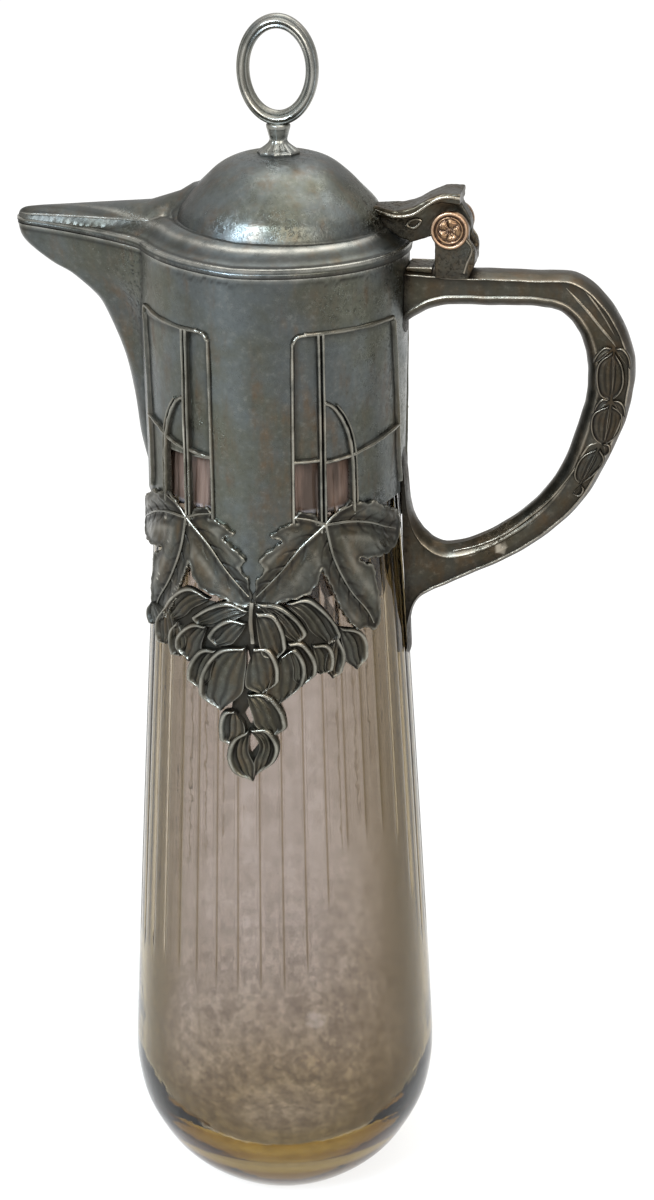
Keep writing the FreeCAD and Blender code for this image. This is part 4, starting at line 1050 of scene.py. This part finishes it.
def make_lid():
    outline = lid_outline()
    tongue = np.array(list(TONGUE) + [(x, -y) for x, y in TONGUE[:0:-1]])
    tongue_line = curve(tongue, 5, closed=True)

    def inside(x, y):
        from_axis = np.hypot(x - DOME_X, y)
        west = -(x - DOME_X) / np.maximum(from_axis, 1e-6)
        hole = 29.3 - 5.8 * step(west, 0.8, 0.95)
        return np.minimum(inside_distance(outline, x, y), from_axis - hole)

    grain = 0.46
    xs = np.arange(BEAK_TIP - 0.5, LID_RADIUS + 0.5, grain)
    ys = np.arange(-LID_RADIUS - 0.5, LID_RADIUS + 0.5, grain)
    where, triangles = clipped_grid(xs, ys, inside)
    x, y = where.T
    edge = np.maximum(inside_distance(outline, x, y), 0)
    flatten = np.interp(x, [-79, -60, -40, -30], [0.6, 0.76, 0.95, 1.0])
    rim_z = seam_height(x) + flatten * table_value(RIM_SECTION, edge)
    crown_z = table_value(CROWN, x)
    half = np.maximum(table_value(TONGUE, x), 0.5)
    across = np.clip(np.abs(y) / half, 0, 1)
    tongue_z = crown_z - (crown_z - table_value(TONGUE_EDGE, x)) * across**2
    tongue_gap = np.where(x < -17, inside_distance(tongue_line, x, y), -20)
    tongue_z = tongue_z + np.minimum(tongue_gap, 0) * np.interp(x, [-37, -29], [2.5, 1.0])
    z = np.maximum(rim_z, tongue_z)
    from_axis = np.hypot(x - DOME_X, y)
    base_line = bump(from_axis, 31.5, 0.35) * (tongue_gap < -0.5)
    z = z - 0.3 * base_line
    low = seam_height(x) + SEAM_GAP
    rounding = 0.4 + 0.6 * np.sqrt(1 - (1 - np.clip(edge / 3.2, 0, 1))**2)
    z = low + (z - low) * (1 + (rounding - 1) * step(-x, 64, 73))
    # Painted highlight and wear on the rim's bead and cove lines and along the tongue's edges, weaker towards the
    # beak; painted shade and grime in the grooves between them, in the dome's base line and beside the tongue.
    lines = bump(tongue_gap, 0.1, 0.42) * (x < -31)
    wear = np.maximum.reduce([0.8 * bump(edge, 0.6, 0.4), 0.65 * bump(edge, 6.6, 0.8), 0.6 * lines])
    wear = wear * np.interp(x, [-50, -38], [0.4, 1.0])
    dirt = np.maximum.reduce([
        0.85 * bump(edge, 1.9, 0.5), 0.6 * bump(edge, 4.2, 1.1), 0.9 * base_line,
        0.55 * bump(tongue_gap, -1.0, 0.6) * (x < -19),
    ])
    # Painted shade: the front of the beak is darkened to damp the key light's highlight there.
    dirt = np.maximum(dirt, 0.4 * (x < -45) * (edge < 6))
    near_spout = bump(x, -38, 9) * (edge < 8)
    top = np.column_stack([x, y, z])
    under = np.column_stack([x, y, seam_height(x) + SEAM_GAP])
    points, faces, back = shell(top, under, triangles)
    batch = Batch()
    shade = doubled(dirt, back)
    # Painted shade on the underside: black at its edge, dim over the rest.
    shade[len(shade) // 2 + back] = np.where(edge < 0.25, 1, 0.3)
    batch.add(points, faces, wear=doubled(wear, back), dirt=shade, pits=doubled(0.4 * near_spout, back))

    band = curve(outline, 1, closed=True)
    ahead = np.roll(band, -1, axis=0) - np.roll(band, 1, axis=0)
    outward = np.column_stack([ahead[:, 1], -ahead[:, 0]]) / np.linalg.norm(ahead, axis=1)[:, None]
    centre = np.array([BEAK_TIP / 2, 0])
    outward *= np.sign(((band - centre) * outward).sum(1))[:, None]
    rim_height = 2.5 * np.interp(band[:, 0], [-79, -60, -40, -30], [0.6, 0.76, 0.95, 1.0])
    seam_z = seam_height(band[:, 0]) + SEAM_GAP
    loop = [(-0.6, 0.02), (-0.34, 0.02), (-0.32, 0.4), (0.0, 0.43), (-0.05, 0.48), (-0.12, 0.55), (-0.06, 0.8), (-0.1, 0.95), (-0.5, 0.98)]
    rows = [
        np.column_stack([band + outward * (reach + 0.16), seam_z + rim_height * share])
        for reach, share in loop
    ]
    rows = np.array(rows).transpose(1, 0, 2)
    points, faces = ring_loft(rows)
    shares = np.tile([share for _, share in loop], len(band))
    # Painted shadow: the band's lower part is black so the seam under the rim shows as a dark gap; painted highlight
    # and wear along its upper edge, with a faint painted shade line between.
    batch.add(points, faces, wear=0.7 * bump(shares, 0.86, 0.14), dirt=1.0 * (shares < 0.42) + 0.35 * bump(shares, 0.55, 0.12))

    outer = dome_outer() + [(31.25, DOME_TOP - 19.7), (31.25, DOME_TOP - 21.0)]
    inner = [(29.4, DOME_TOP - 21.0)] + [(r - 1.6, h - 0.4) for r, h in dome_outer()[:3:-1]]
    inner += [(6, DOME_TOP - 1.6), (0.8, DOME_TOP - 1.6)]
    turn = np.linspace(0, 2 * math.pi, 200, endpoint=False)
    rows, pits, dirt = [], [], []
    for radius, height in outer + inner:
        waver = 0.05 * np.sin(3 * turn + height) * min(1, radius / 10) + 0.03 * np.sin(7 * turn - height * 0.6)
        reach = radius + waver * (height < DOME_TOP - 0.5)
        rows.append(np.column_stack([
            DOME_X + reach * np.cos(turn), reach * np.sin(turn), np.full(len(turn), height)
        ]))
        front = 0.5 + 0.5 * np.cos(turn - math.radians(-50))
        lever = bump(radius, 29, 6) * bump(turn if radius > 0 else turn, 0, 0.35)
        lever += bump(radius, 29, 6) * bump(turn, 2 * math.pi, 0.35)
        pits.append(0.8 * bump(radius, 8.5, 4.5) * (0.45 + 0.55 * front) + 0.9 * lever + 0.15 * bump(radius, 29, 3))
        # Painted shade and grime round the finial's foot, stronger towards the front, and along the dome's foot.
        dirt.append(0.6 * bump(radius, 7.2, 1.0) * (0.4 + 0.6 * front) + 0.5 * bump(height, DOME_TOP - 19.3, 0.5))
    points, faces = loft(rows)
    batch.add(points, faces, pits=np.concatenate(pits), dirt=np.concatenate(dirt))

    ridge_x = np.linspace(-76.9, -34.5, 70)
    turn = np.radians(np.linspace(164, 112, 50))
    share = np.linspace(0, 1, 50)
    reach = 32.2 + 3.4 * (1 - share)**2
    for side in (1, -1):
        ridge = np.column_stack([ridge_x, side * table_value(TONGUE, ridge_x), table_value(TONGUE_EDGE, ridge_x)])
        sweep = np.column_stack([
            DOME_X + reach * np.cos(turn), side * reach * np.sin(turn), 322.3 - 0.75 * np.sqrt(share)
        ])
        line = curve(np.concatenate([ridge[::5], sweep[3::5]]), 5)
        share_along = np.linspace(0, 1, len(line))
        taper = np.clip(np.minimum(share_along / 0.04, (1 - share_along) / 0.3), 0.12, 1)
        # Painted highlight and wear along the tongue's edge lines.
        add_tube(batch, line, 0.3 * taper, wear=0.6)
    return batch.make("domed_beak_lid", MATERIALS["pewter"], "lid", ["lid_shell"], crease=40)


def add_tube(batch, line, radius, sides=8, **marks):
    """A round wire along a line of points; radius may change along it."""
    line = np.asarray(line, float)
    radius = np.broadcast_to(np.asarray(radius, float), len(line))
    along = np.gradient(line, axis=0)
    along /= np.linalg.norm(along, axis=1)[:, None]
    first = np.cross(along, [0.13, 0.2, 0.97])
    first /= np.linalg.norm(first, axis=1)[:, None]
    second = np.cross(along, first)
    turn = np.linspace(0, 2 * math.pi, sides, endpoint=False)
    rows = line[:, None] + radius[:, None, None] * (
        np.cos(turn)[None, :, None] * first[:, None] + np.sin(turn)[None, :, None] * second[:, None]
    )
    points, faces = loft(rows)
    batch.add(points, faces, **marks)


# ---------------------------------------------------------------- finial

def make_finial_foot():
    profile = ((6.4, 0), (6.45, 0.7), (6.1, 1.15), (5.2, 1.7), (4.2, 2.4), (3.3, 3.1), (2.75, 3.9), (2.75, 4.6),
               (3.0, 5.6), (3.3, 6.8), (3.55, 7.6), (3.6, 8.35), (3.3, 8.7))
    turn = np.linspace(0, 2 * math.pi, 96, endpoint=False)
    facet = math.cos(math.pi / 8) / np.cos((turn % (math.pi / 4)) - math.pi / 8)
    rows, wear = [], []
    for radius, height in curve(profile, 4):
        share = 1 - 0.75 * float(step(np.array(height), 0.8, 7.0))
        flute = 1 - 0.07 * float(bump(np.array(height), 2.2, 1.4)) * np.cos(turn * 8)**2
        reach = radius * (1 + share * (facet - 1) * 1.25) * flute
        rows.append(np.column_stack([DOME_X + reach * np.cos(turn), reach * np.sin(turn),
                                     np.full(len(turn), FOOT_LOW[2] + height)]))
        wear.append(0.85 * step(facet, 0.985, 1.0) * (1 - float(step(np.array(height), 3.5, 7))))
    points, faces = loft(rows)
    batch = Batch()
    # Painted highlight and wear: the whole stem is lightened, most on the facet edges low down; painted shade and
    # grime where it stands on the dome.
    foot_grime_and_shade = 0.6 * bump(points[:, 2], FOOT_LOW[2], 0.5)
    batch.add(points, faces, wear=0.45 + 0.55 * np.concatenate(wear), dirt=foot_grime_and_shade)
    return batch.make("finial_stem", MATERIALS["pewter"], "lid", ["finial_foot"], crease=28)


def make_finial_ring():
    centre = (RING_LOW + RING_HIGH) / 2
    half_width, half_height = (RING_HIGH - RING_LOW)[[0, 2]] / 2
    hole_width, hole_height = 8.25, 11.6
    half = [(1.0, 0.0), (0.985, 0.8), (0.93, 1.35), (0.86, 1.55), (0.78, 1.5), (0.73, 1.7), (0.66, 2.1), (0.56, 2.3),
            (0.46, 2.1), (0.39, 1.65), (0.33, 1.45), (0.27, 1.6), (0.19, 1.65), (0.1, 1.35), (0.03, 0.8), (0.0, 0.0)]
    loop = half + [(share, -y) for share, y in half[-2:0:-1]]
    share, y = np.array(loop).T
    turn = np.linspace(0, 2 * math.pi, 120, endpoint=False)[:, None]
    wide = hole_width + share * (half_width - hole_width)
    tall = hole_height + share * (half_height - hole_height)
    wobble = 1 + 0.006 * np.sin(3 * turn + 0.5)
    x = centre[0] + wide * np.cos(turn) * wobble
    z = centre[2] + tall * np.sin(turn)
    rows = np.stack([x, np.broadcast_to(y, x.shape), z], -1)
    points, faces = ring_loft(rows)
    # Painted highlight and wear: the whole ring is lightened, most on its crests; painted shade and grime in its
    # grooves.
    crest = np.maximum(bump(share, 0.56, 0.09), 0.6 * (share > 0.97))
    groove = np.maximum(bump(share, 0.79, 0.05), bump(share, 0.33, 0.05))
    batch = Batch()
    batch.add(points, faces, wear=0.4 + 0.6 * np.tile(crest, len(turn)), dirt=0.6 * np.tile(groove, len(turn)))
    return batch.make("oval_ring", MATERIALS["pewter"], "lid", ["finial_ring"], crease=40)


# ---------------------------------------------------------------- handle

HANDLE_STATIONS = (
    # centre x and z, way the outer side faces in degrees above +X, depth across, half width
    (36.0, 299.0, 90, 20.2, 6.2),
    (42.0, 301.3, 90, 15.6, 6.2),
    (50.0, 303.0, 90, 11.2, 6.2),
    (64.0, 303.3, 90, 10.4, 6.15),
    (79.0, 303.4, 88, 10.3, 6.1),
    (88.6, 302.2, 58, 12.1, 6.0),
    (96.2, 294.7, 30, 12.4, 6.0),
    (100.5, 284.0, 6, 13.9, 6.0),
    (100.7, 273.4, -4, 13.6, 6.0),
    (98.2, 262.4, -13, 12.9, 5.9),
    (91.1, 244.7, -32, 11.2, 5.7),
    (81.2, 232.4, -47, 10.3, 5.4),
    (68.3, 222.9, -57, 9.8, 5.2),
    (55.0, 217.0, -72, 11.6, 5.2),
    (46.6, 215.9, -89, 19.6, 5.2),
    (43.0, 216.0, -90, 29.0, 5.2),
    (41.0, 215.5, -90, 44.0, 5.2),
    (39.4, 219.0, -90, 64.0, 5.2),
    (36.0, 219.0, -90, 66.0, 5.2),
)
HANDLE_LINE = curve(HANDLE_STATIONS, 12)


def handle_half(depth, width):
    """One side of the handle's section from the outer crown to the inner edge, as (across, outward)."""
    top = depth / 2
    return np.array([
        (0, top), (1.6, top - 0.04), (3.2, top - 0.3), (width - 1.3, top - 0.95), (width - 0.35, top - 1.3),
        (width - 0.06, top - 1.42), (width, top - 1.6), (width - 0.08, top - 1.8), (width - 0.5, top - 2.1),
        (width - 0.62, top - 3.4), (width - 0.55, 0.25 * top), (width - 0.5, -0.2 * top), (width - 0.62, -top + 3.9),
        (width - 0.35, -top + 3.3), (width - 0.5, -top + 2.9), (width - 1.5, -top + 1.7), (width - 3.0, -top + 0.6),
        (1.5, -top + 0.08),
    ])


def handle_side(x, z, height, side):
    """Point on the handle's side face at x, z, raised by height."""
    shape = np.shape(x)
    flat_x, flat_z = np.ravel(x), np.ravel(z)
    gap = np.hypot(flat_x[:, None] - HANDLE_LINE[None, :, 0], flat_z[:, None] - HANDLE_LINE[None, :, 1])
    width = HANDLE_LINE[gap.argmin(1), 4].reshape(shape)
    return np.stack([x, side * (width - 0.6 + height), z], -1)


POD_SCALES = (
    # level, root, two places on the outer edge, tip, inner place: in x, z
    (0, (101.4, 287.0), (97.0, 282.5), (97.4, 274.6), (101.0, 271.6), (101.6, 279.5)),
    (0, (101.9, 287.0), (104.6, 282.0), (104.8, 276.0), (101.8, 271.6), (102.0, 279.5)),
    (1, (101.2, 288.0), (99.0, 288.3), (96.6, 286.0), (95.6, 283.0), (98.4, 285.0)),
    (1, (102.0, 288.0), (104.4, 288.0), (106.4, 285.4), (106.7, 281.6), (103.8, 285.4)),
    (0, (101.0, 270.6), (96.2, 267.5), (96.0, 261.5), (99.4, 257.6), (100.4, 264.0)),
    (0, (101.7, 270.6), (105.0, 267.8), (104.3, 262.2), (99.9, 257.6), (101.0, 264.0)),
    (1, (101.0, 272.2), (98.8, 272.6), (97.0, 270.6), (96.4, 268.2), (98.8, 270.0)),
    (1, (101.9, 272.2), (104.2, 272.0), (105.7, 270.0), (105.7, 267.0), (103.4, 269.6)),
    (0, (98.0, 257.0), (93.2, 254.0), (91.2, 248.6), (92.9, 245.2), (95.6, 251.0)),
    (0, (98.7, 257.0), (100.3, 253.4), (98.0, 249.4), (93.5, 245.2), (96.2, 251.0)),
    (1, (99.4, 258.6), (101.6, 258.4), (102.0, 256.2), (100.4, 254.8), (100.2, 256.8)),
    (0, (93.6, 245.4), (94.6, 243.6), (93.2, 241.4), (91.0, 242.2), (92.4, 243.8)),
)
HANDLE_STEMS = (
    (0.5, (87.2, 305.2), (93.2, 298.9), (97.7, 293.6), (100.7, 290.2), (102.2, 288.2)),
    (0.45, (98.4, 258.6), (95.6, 257.6), (93.6, 254.6), (91.6, 250.4), (88.1, 245.0), (84.0, 239.6), (78.5, 234.2),
     (71.0, 228.0), (63.0, 223.8), (55.5, 221.6)),
    (0.3, (92.6, 304.6), (97.6, 298.2), (102.4, 290.4)),
)


def make_handle():
    rows, wear, dirt = [], [], []
    # Painted highlight and wear along the crown and bevel edges of the section; painted shade and grime in the bevels
    # and hollows, and where the handle meets the collar.
    crest = [0, 0, 0, 0, 0.1, 0.8, 1.0, 0.6, 0, 0, 0, 0, 0, 0.6, 0.2, 0, 0, 0]
    hollow = [0, 0, 0, 0, 0, 0, 0, 0.1, 0.55, 0.3, 0, 0, 0.4, 0, 0.1, 0.2, 0.1, 0]
    for number, (x, z, facing, depth, width) in enumerate(HANDLE_LINE):
        half = handle_half(depth, width)
        loop = np.concatenate([half, half[:0:-1] * [-1, 1]])
        turn = math.radians(facing)
        waver = 0.06 * math.sin(number * 0.37) + 0.04 * math.sin(number * 0.91)
        outward = loop[:, 1] + waver * np.sign(loop[:, 1])
        rows.append(np.column_stack([
            x + outward * math.cos(turn), loop[:, 0], z + outward * math.sin(turn)
        ]))
        wear.append(crest + crest[:0:-1])
        dirt.append(hollow + hollow[:0:-1])
    rows = np.array(rows)
    radius = np.hypot(rows[..., 0], rows[..., 1])
    push = np.maximum(1, (foot_line(rows[..., 2]) + 0.03) / radius)
    rows[..., :2] *= push[..., None]
    points, faces = loft(rows)
    root = bump(np.hypot(points[:, 0], points[:, 1]) - foot_line(points[:, 2]), 0, 1.6)
    batch = Batch()
    batch.add(points, faces, wear=np.ravel(wear) * (1 - root), dirt=np.ravel(dirt) + 0.6 * root, pits=0.6 * root)
    for side in (1, -1):
        def place(x, z, height, side=side):
            return handle_side(x, z, height, side)

        for level, root_point, edge_1, edge_2, tip, inner in POD_SCALES:
            scale_relief(batch, place, root_point, edge_1, edge_2, tip, inner, 0.1 + 0.3 * level, 1.0, 0.5, 3, 0.3)
        for thickness, *points in HANDLE_STEMS:
            line = curve(points, 8)
            share = np.linspace(0, 1, len(line))
            radius = thickness * np.clip(np.minimum(share / 0.15, (1 - share) / 0.3), 0.1, 1)
            centre = handle_side(line[:, 0], line[:, 1], 0.1 + 0 * share, side)
            # Painted highlight and wear along the stems.
            add_tube(batch, centre, radius, wear=0.8)
    return batch.make("loop_handle", MATERIALS["handle"], "jug", ["handle"], crease=32)


# ---------------------------------------------------------------- hinge

def weathered(node, voxel, rounding, roughening):
    """The CAD node's shape as a fine mesh with softened edges and a cast, uneven skin; points in millimetres."""
    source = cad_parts[node].data.copy()
    thing = bpy.data.objects.new("work_" + node, source)
    bpy.context.scene.collection.objects.link(thing)
    remesh = thing.modifiers.new("remesh", "REMESH")
    remesh.mode = "VOXEL"
    remesh.voxel_size = voxel * MM
    made = thing.evaluated_get(bpy.context.evaluated_depsgraph_get()).to_mesh()
    points = np.zeros(len(made.vertices) * 3)
    made.vertices.foreach_get("co", points)
    points = points.reshape(-1, 3) / MM
    faces = [tuple(face.vertices) for face in made.polygons]
    edges = np.zeros(len(made.edges) * 2, int)
    made.edges.foreach_get("vertices", edges)
    edges = edges.reshape(-1, 2)
    bpy.data.objects.remove(thing)
    degree = np.bincount(edges.ravel(), minlength=len(points))[:, None]
    for _ in range(rounding):
        total = np.zeros_like(points)
        np.add.at(total, edges[:, 0], points[edges[:, 1]])
        np.add.at(total, edges[:, 1], points[edges[:, 0]])
        points = 0.45 * points + 0.55 * total / degree
    x, y, z = points.T
    uneven = np.sin(x * 1.7 + 2 * np.sin(z * 0.9)) * np.sin(z * 1.5 + y) + 0.6 * np.sin(x * 3.9 - z * 3.1 + y * 2.7)
    centre = points.mean(0)
    outward = points - centre
    outward /= np.maximum(np.linalg.norm(outward, axis=1), 1e-6)[:, None]
    return points + outward * (uneven * roughening)[:, None], faces


def make_post():
    points, faces = weathered("hinge_post", 0.3, 4, 0.05)
    points[:, 1] *= 1 - 0.18 * step(-points[:, 2], -307.0, -306.4)
    batch = Batch()
    low = POST_LOW[2]
    pits = 0.8 * bump(points[:, 2], low + 6, 6)
    # Painted shade and grime in a band low on the post.
    batch.add(points, faces, pits=pits, dirt=0.5 * bump(points[:, 2], low + 3.8, 1.0))
    for side in (1, -1):
        y = side * 6.45
        for lean in (0.0, 0.9):
            line = curve([(57.9 + lean, 318.9), (60.0 + lean * 0.4, 315.8), (58.6 + lean * 0.3, 311.6), (57.8, 308.8)], 8)
            tube = np.column_stack([line[:, 0] - 0.4, np.full(len(line), y * (1 - 0.05 * lean)), line[:, 1]])
            # Painted highlight and wear on the raised lines.
            add_tube(batch, tube, 0.42 - 0.1 * lean, wear=0.6)
    return batch.make("forked_post", MATERIALS["handle"], "jug", ["hinge_post"], crease=50)


def make_root_plate():
    points, faces = weathered("root_plate", 0.22, 3, 0.04)
    batch = Batch()
    batch.add(points, faces, pits=0.4)
    x, y, z = points.T
    top, near, far = z.max(), x.min(), x.max()
    for side in (1, -1):
        line = np.array([(near + 0.5, side * 4.8, top - 0.1), (far, side * 4.8, top - 0.1)])
        # Painted highlight and wear along the plate's top edges.
        add_tube(batch, curve(line, 8), 0.35, wear=0.8)
    return batch.make("handle_root_plate", MATERIALS["handle"], "jug", ["root_plate"], crease=50)


LEVER_LINE = ((31.0, 326.6), (34.5, 326.0), (38.5, 325.7), (42.6, 326.6), (46.4, 329.2), (49.6, 331.2), (52.6, 331.8),
              (56.0, 331.4))


def make_lever():
    points, faces = weathered("lid_arm", 0.32, 3, 0.05)
    batch = Batch()
    points[:, 1] *= 0.4 + 0.6 * step(points[:, 0], 29.5, 37.5)
    x, y, z = points.T
    # Painted shade under the lever: darker low down near its middle.
    batch.add(points, faces, pits=0.9 * bump(x, 33, 5), dirt=0.6 * step(-z, -325, -321) * (np.abs(y) < 5))
    line = curve(LEVER_LINE, 8)
    for side in (1, -1):
        share = np.linspace(0, 1, len(line))
        width = 7.1 * (0.4 + 0.6 * step(line[:, 0], 29.5, 37.5))
        edge = np.column_stack([line[:, 0], side * width, line[:, 1] - 0.75])
        # Painted highlight and wear along the edge lines and, weaker, the lump.
        add_tube(batch, edge, 0.5 * np.clip(share / 0.15, 0.3, 1), wear=0.85)
        lump = curve([(40.2, 321.6), (42.0, 323.4), (44.3, 323.0), (42.4, 320.9)], 5, closed=True)
        lump = np.concatenate([lump, lump[:1]])
        loop = np.column_stack([lump[:, 0], np.full(len(lump), side * 3.3), lump[:, 1]])
        add_tube(batch, loop, 0.45, wear=0.3)
    return batch.make("thumb_lever", MATERIALS["handle"], "lid", ["lid_arm"], crease=50)


def make_rosette(side, name, node):
    low, high = limits(node)
    centre = (low + high) / 2
    reach = high[0] - centre[0]
    face = low[1] if side < 0 else high[1]
    base = high[1] if side < 0 else low[1]
    radii = np.concatenate([[0.05], np.linspace(0.25, reach - 0.02, 44)])
    turn = np.linspace(0, 2 * math.pi, 96, endpoint=False)
    grid_r, grid_t = np.meshgrid(radii, turn, indexing="ij")
    rim = np.sqrt(np.clip(1 - ((grid_r - (reach - 0.62)) / 0.64) ** 2, 0, 1))
    ring = 0.5 * np.sqrt(np.clip(1 - ((grid_r - (reach - 1.85)) / 0.34) ** 2, 0, 1))
    petals = np.abs(np.cos(grid_t * 2.5)) ** 0.7 * bump(grid_r, 2.35, 0.85) * 0.75
    petals += 0.3 * np.abs(np.sin(grid_t * 5)) * bump(grid_r, 1.3, 0.4) + 0.45 * bump(grid_r, 0, 0.55)
    chips = 0.12 * np.sin(grid_t * 9 + grid_r * 4) * np.sin(grid_r * 5.1 + grid_t * 3)
    depth = np.maximum.reduce([rim, ring, petals + chips]) * 0.85
    y = face - side * (0.9 - depth)
    x = centre[0] + grid_r * np.cos(grid_t)
    z = centre[2] + grid_r * np.sin(grid_t)
    rows = np.stack([x, y, z], -1)
    foot = rows[-1].copy()
    foot[:, 1] = base
    points, faces = loft(np.concatenate([rows, foot[None]]))
    # Painted shade and grime in the rosette's hollows; painted highlight and wear on its raised parts.
    dirt = np.concatenate([(0.95 * step(-depth, -0.42, -0.12) * (grid_r < reach - 1.0)).ravel(), np.zeros(len(turn))])
    wear = np.concatenate([(0.8 * step(depth, 0.6, 0.85)).ravel(), np.zeros(len(turn))])
    batch = Batch()
    batch.add(points, faces, wear=wear, dirt=dirt)
    return batch.make(name, MATERIALS["brass"], "jug", [node], crease=50)


# ---------------------------------------------------------------- camera, lights, floor

def make_camera():
    """The viewing angle: a little to the handle's side of the front, looking down from above the lid."""
    side, drop = math.radians(11), math.radians(22.183)
    aim, roll = math.radians(-1.2341), math.radians(-0.3667)
    distance, height = 0.7, 0.4852
    ahead = np.array([-math.sin(side) * math.cos(drop), math.cos(side) * math.cos(drop), -math.sin(drop)])
    ahead = np.array(Matrix.Rotation(aim, 3, "Z")) @ ahead
    right = np.cross(ahead, [0, 0, 1])
    right /= np.linalg.norm(right)
    up = np.cross(right, ahead)
    rolled_right = right * math.cos(roll) + up * math.sin(roll)
    rolled_up = up * math.cos(roll) - right * math.sin(roll)
    data = bpy.data.cameras.new("camera")
    data.lens = 72.19
    data.sensor_width = 36
    data.clip_start = 0.01
    camera = bpy.data.objects.new("camera", data)
    bpy.context.scene.collection.objects.link(camera)
    turn = Matrix(np.stack([rolled_right, rolled_up, -ahead], 1).tolist()).to_4x4()
    spot = Matrix.Translation((distance * math.sin(side), -distance * math.cos(side), height))
    camera.matrix_world = spot @ turn
    bpy.context.scene.camera = camera


def area_light(name, azimuth, elevation, distance, width, height, power, colour):
    """A soft light on a ray from the jug's middle, turned to face it."""
    turn, rise = math.radians(azimuth), math.radians(elevation)
    way = np.array([math.cos(rise) * math.cos(turn), math.cos(rise) * math.sin(turn), math.sin(rise)])
    data = bpy.data.lights.new(name, "AREA")
    data.shape = "RECTANGLE"
    data.size = width
    data.size_y = height
    data.energy = power
    data.color = colour
    light = bpy.data.objects.new(name, data)
    bpy.context.scene.collection.objects.link(light)
    back = Matrix(np.stack(facing(way), 1).tolist()).to_4x4()
    light.matrix_world = Matrix.Translation((way * distance + [0, 0, 0.22]).tolist()) @ back


def facing(way):
    right = np.cross([0, 0, 1], way)
    right /= np.linalg.norm(right)
    return right, np.cross(way, right), way


def make_world():
    """Pale surroundings, brighter above, dimmer low down."""
    world = bpy.data.worlds.new("studio")
    world.use_nodes = True
    bpy.context.scene.world = world
    tree = world.node_tree
    place = tree.nodes.new("ShaderNodeTexCoord")
    split = tree.nodes.new("ShaderNodeSeparateXYZ")
    tree.links.new(place.outputs["Generated"], split.inputs["Vector"])
    lift = tree.nodes.new("ShaderNodeMapRange")
    lift.inputs["From Min"].default_value = 0.0
    lift.inputs["From Max"].default_value = 0.9
    lift.inputs["To Min"].default_value = 0.45
    lift.inputs["To Max"].default_value = 1.2
    tree.links.new(split.outputs["Z"], lift.inputs["Value"])
    tree.links.new(lift.outputs["Result"], tree.nodes["Background"].inputs["Strength"])
    tree.nodes["Background"].inputs["Color"].default_value = (1.0, 0.99, 0.97, 1)


def make_floor():
    s = Shader("pale_floor")
    s.feed(s.surface.inputs["Base Color"], s.blend(s.noise(3, 3), (0.17, 0.17, 0.168), (0.15, 0.15, 0.148)))
    s.surface.inputs["Roughness"].default_value = 0.9
    s.surface.inputs["Emission Color"].default_value = (1.0, 0.995, 0.985, 1)
    s.surface.inputs["Emission Strength"].default_value = 0.82
    half = 9.0
    mesh = bpy.data.meshes.new("floor")
    corners = [(-half, -half, 0), (half, -half, 0), (half, half, 0), (-half, half, 0)]
    mesh.from_pydata(corners, [], [(0, 1, 2, 3)])
    mesh.materials.append(s.material)
    floor = bpy.data.objects.new("floor", mesh)
    bpy.context.scene.collection.objects.link(floor)


def finish_cad_nodes():
    """Materials for the CAD nodes that stay."""
    kept = {
        "plaster_bed": "plaster", "lid_bezel": "pewter", "finial_stud": "steel", "finial_nut": "steel",
        "hinge_pin": "brass",
    }
    for node, material in kept.items():
        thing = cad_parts[node]
        thing.data.materials.clear()
        thing.data.materials.append(MATERIALS[material])


bpy.context.scene.view_settings.view_transform = "Standard"
make_camera()
make_world()
area_light("window", -114, 36, 1.5, 0.45, 0.5, 40, (0.7, 0.84, 1.0))
area_light("room", -60, 30, 2.2, 1.4, 1.2, 30, (1.0, 0.96, 0.9))
area_light("above", 60, 75, 1.8, 1.6, 1.6, 20, (1.0, 0.99, 0.97))
make_floor()
make_glass()
make_collar()
make_tracery(1, "front_window_tracery", "tracery_front")
make_tracery(-1, "back_window_tracery", "tracery_back")
for side_name, side in (("front", 1), ("back", -1)):
    make_leaf(side, 1, side_name + "_right_vine_leaf", "leaf_" + side_name + "_right")
    make_leaf(side, -1, side_name + "_left_vine_leaf", "leaf_" + side_name + "_left")
    make_bunch(side, side_name + "_hanging_bunch", "grapes_" + side_name)
make_spout()
make_lid()
make_finial_foot()
make_finial_ring()
make_handle()
make_post()
make_root_plate()
make_lever()
make_rosette(-1, "front_rosette", "rosette_front")
make_rosette(1, "back_rosette", "rosette_back")
finish_cad_nodes()
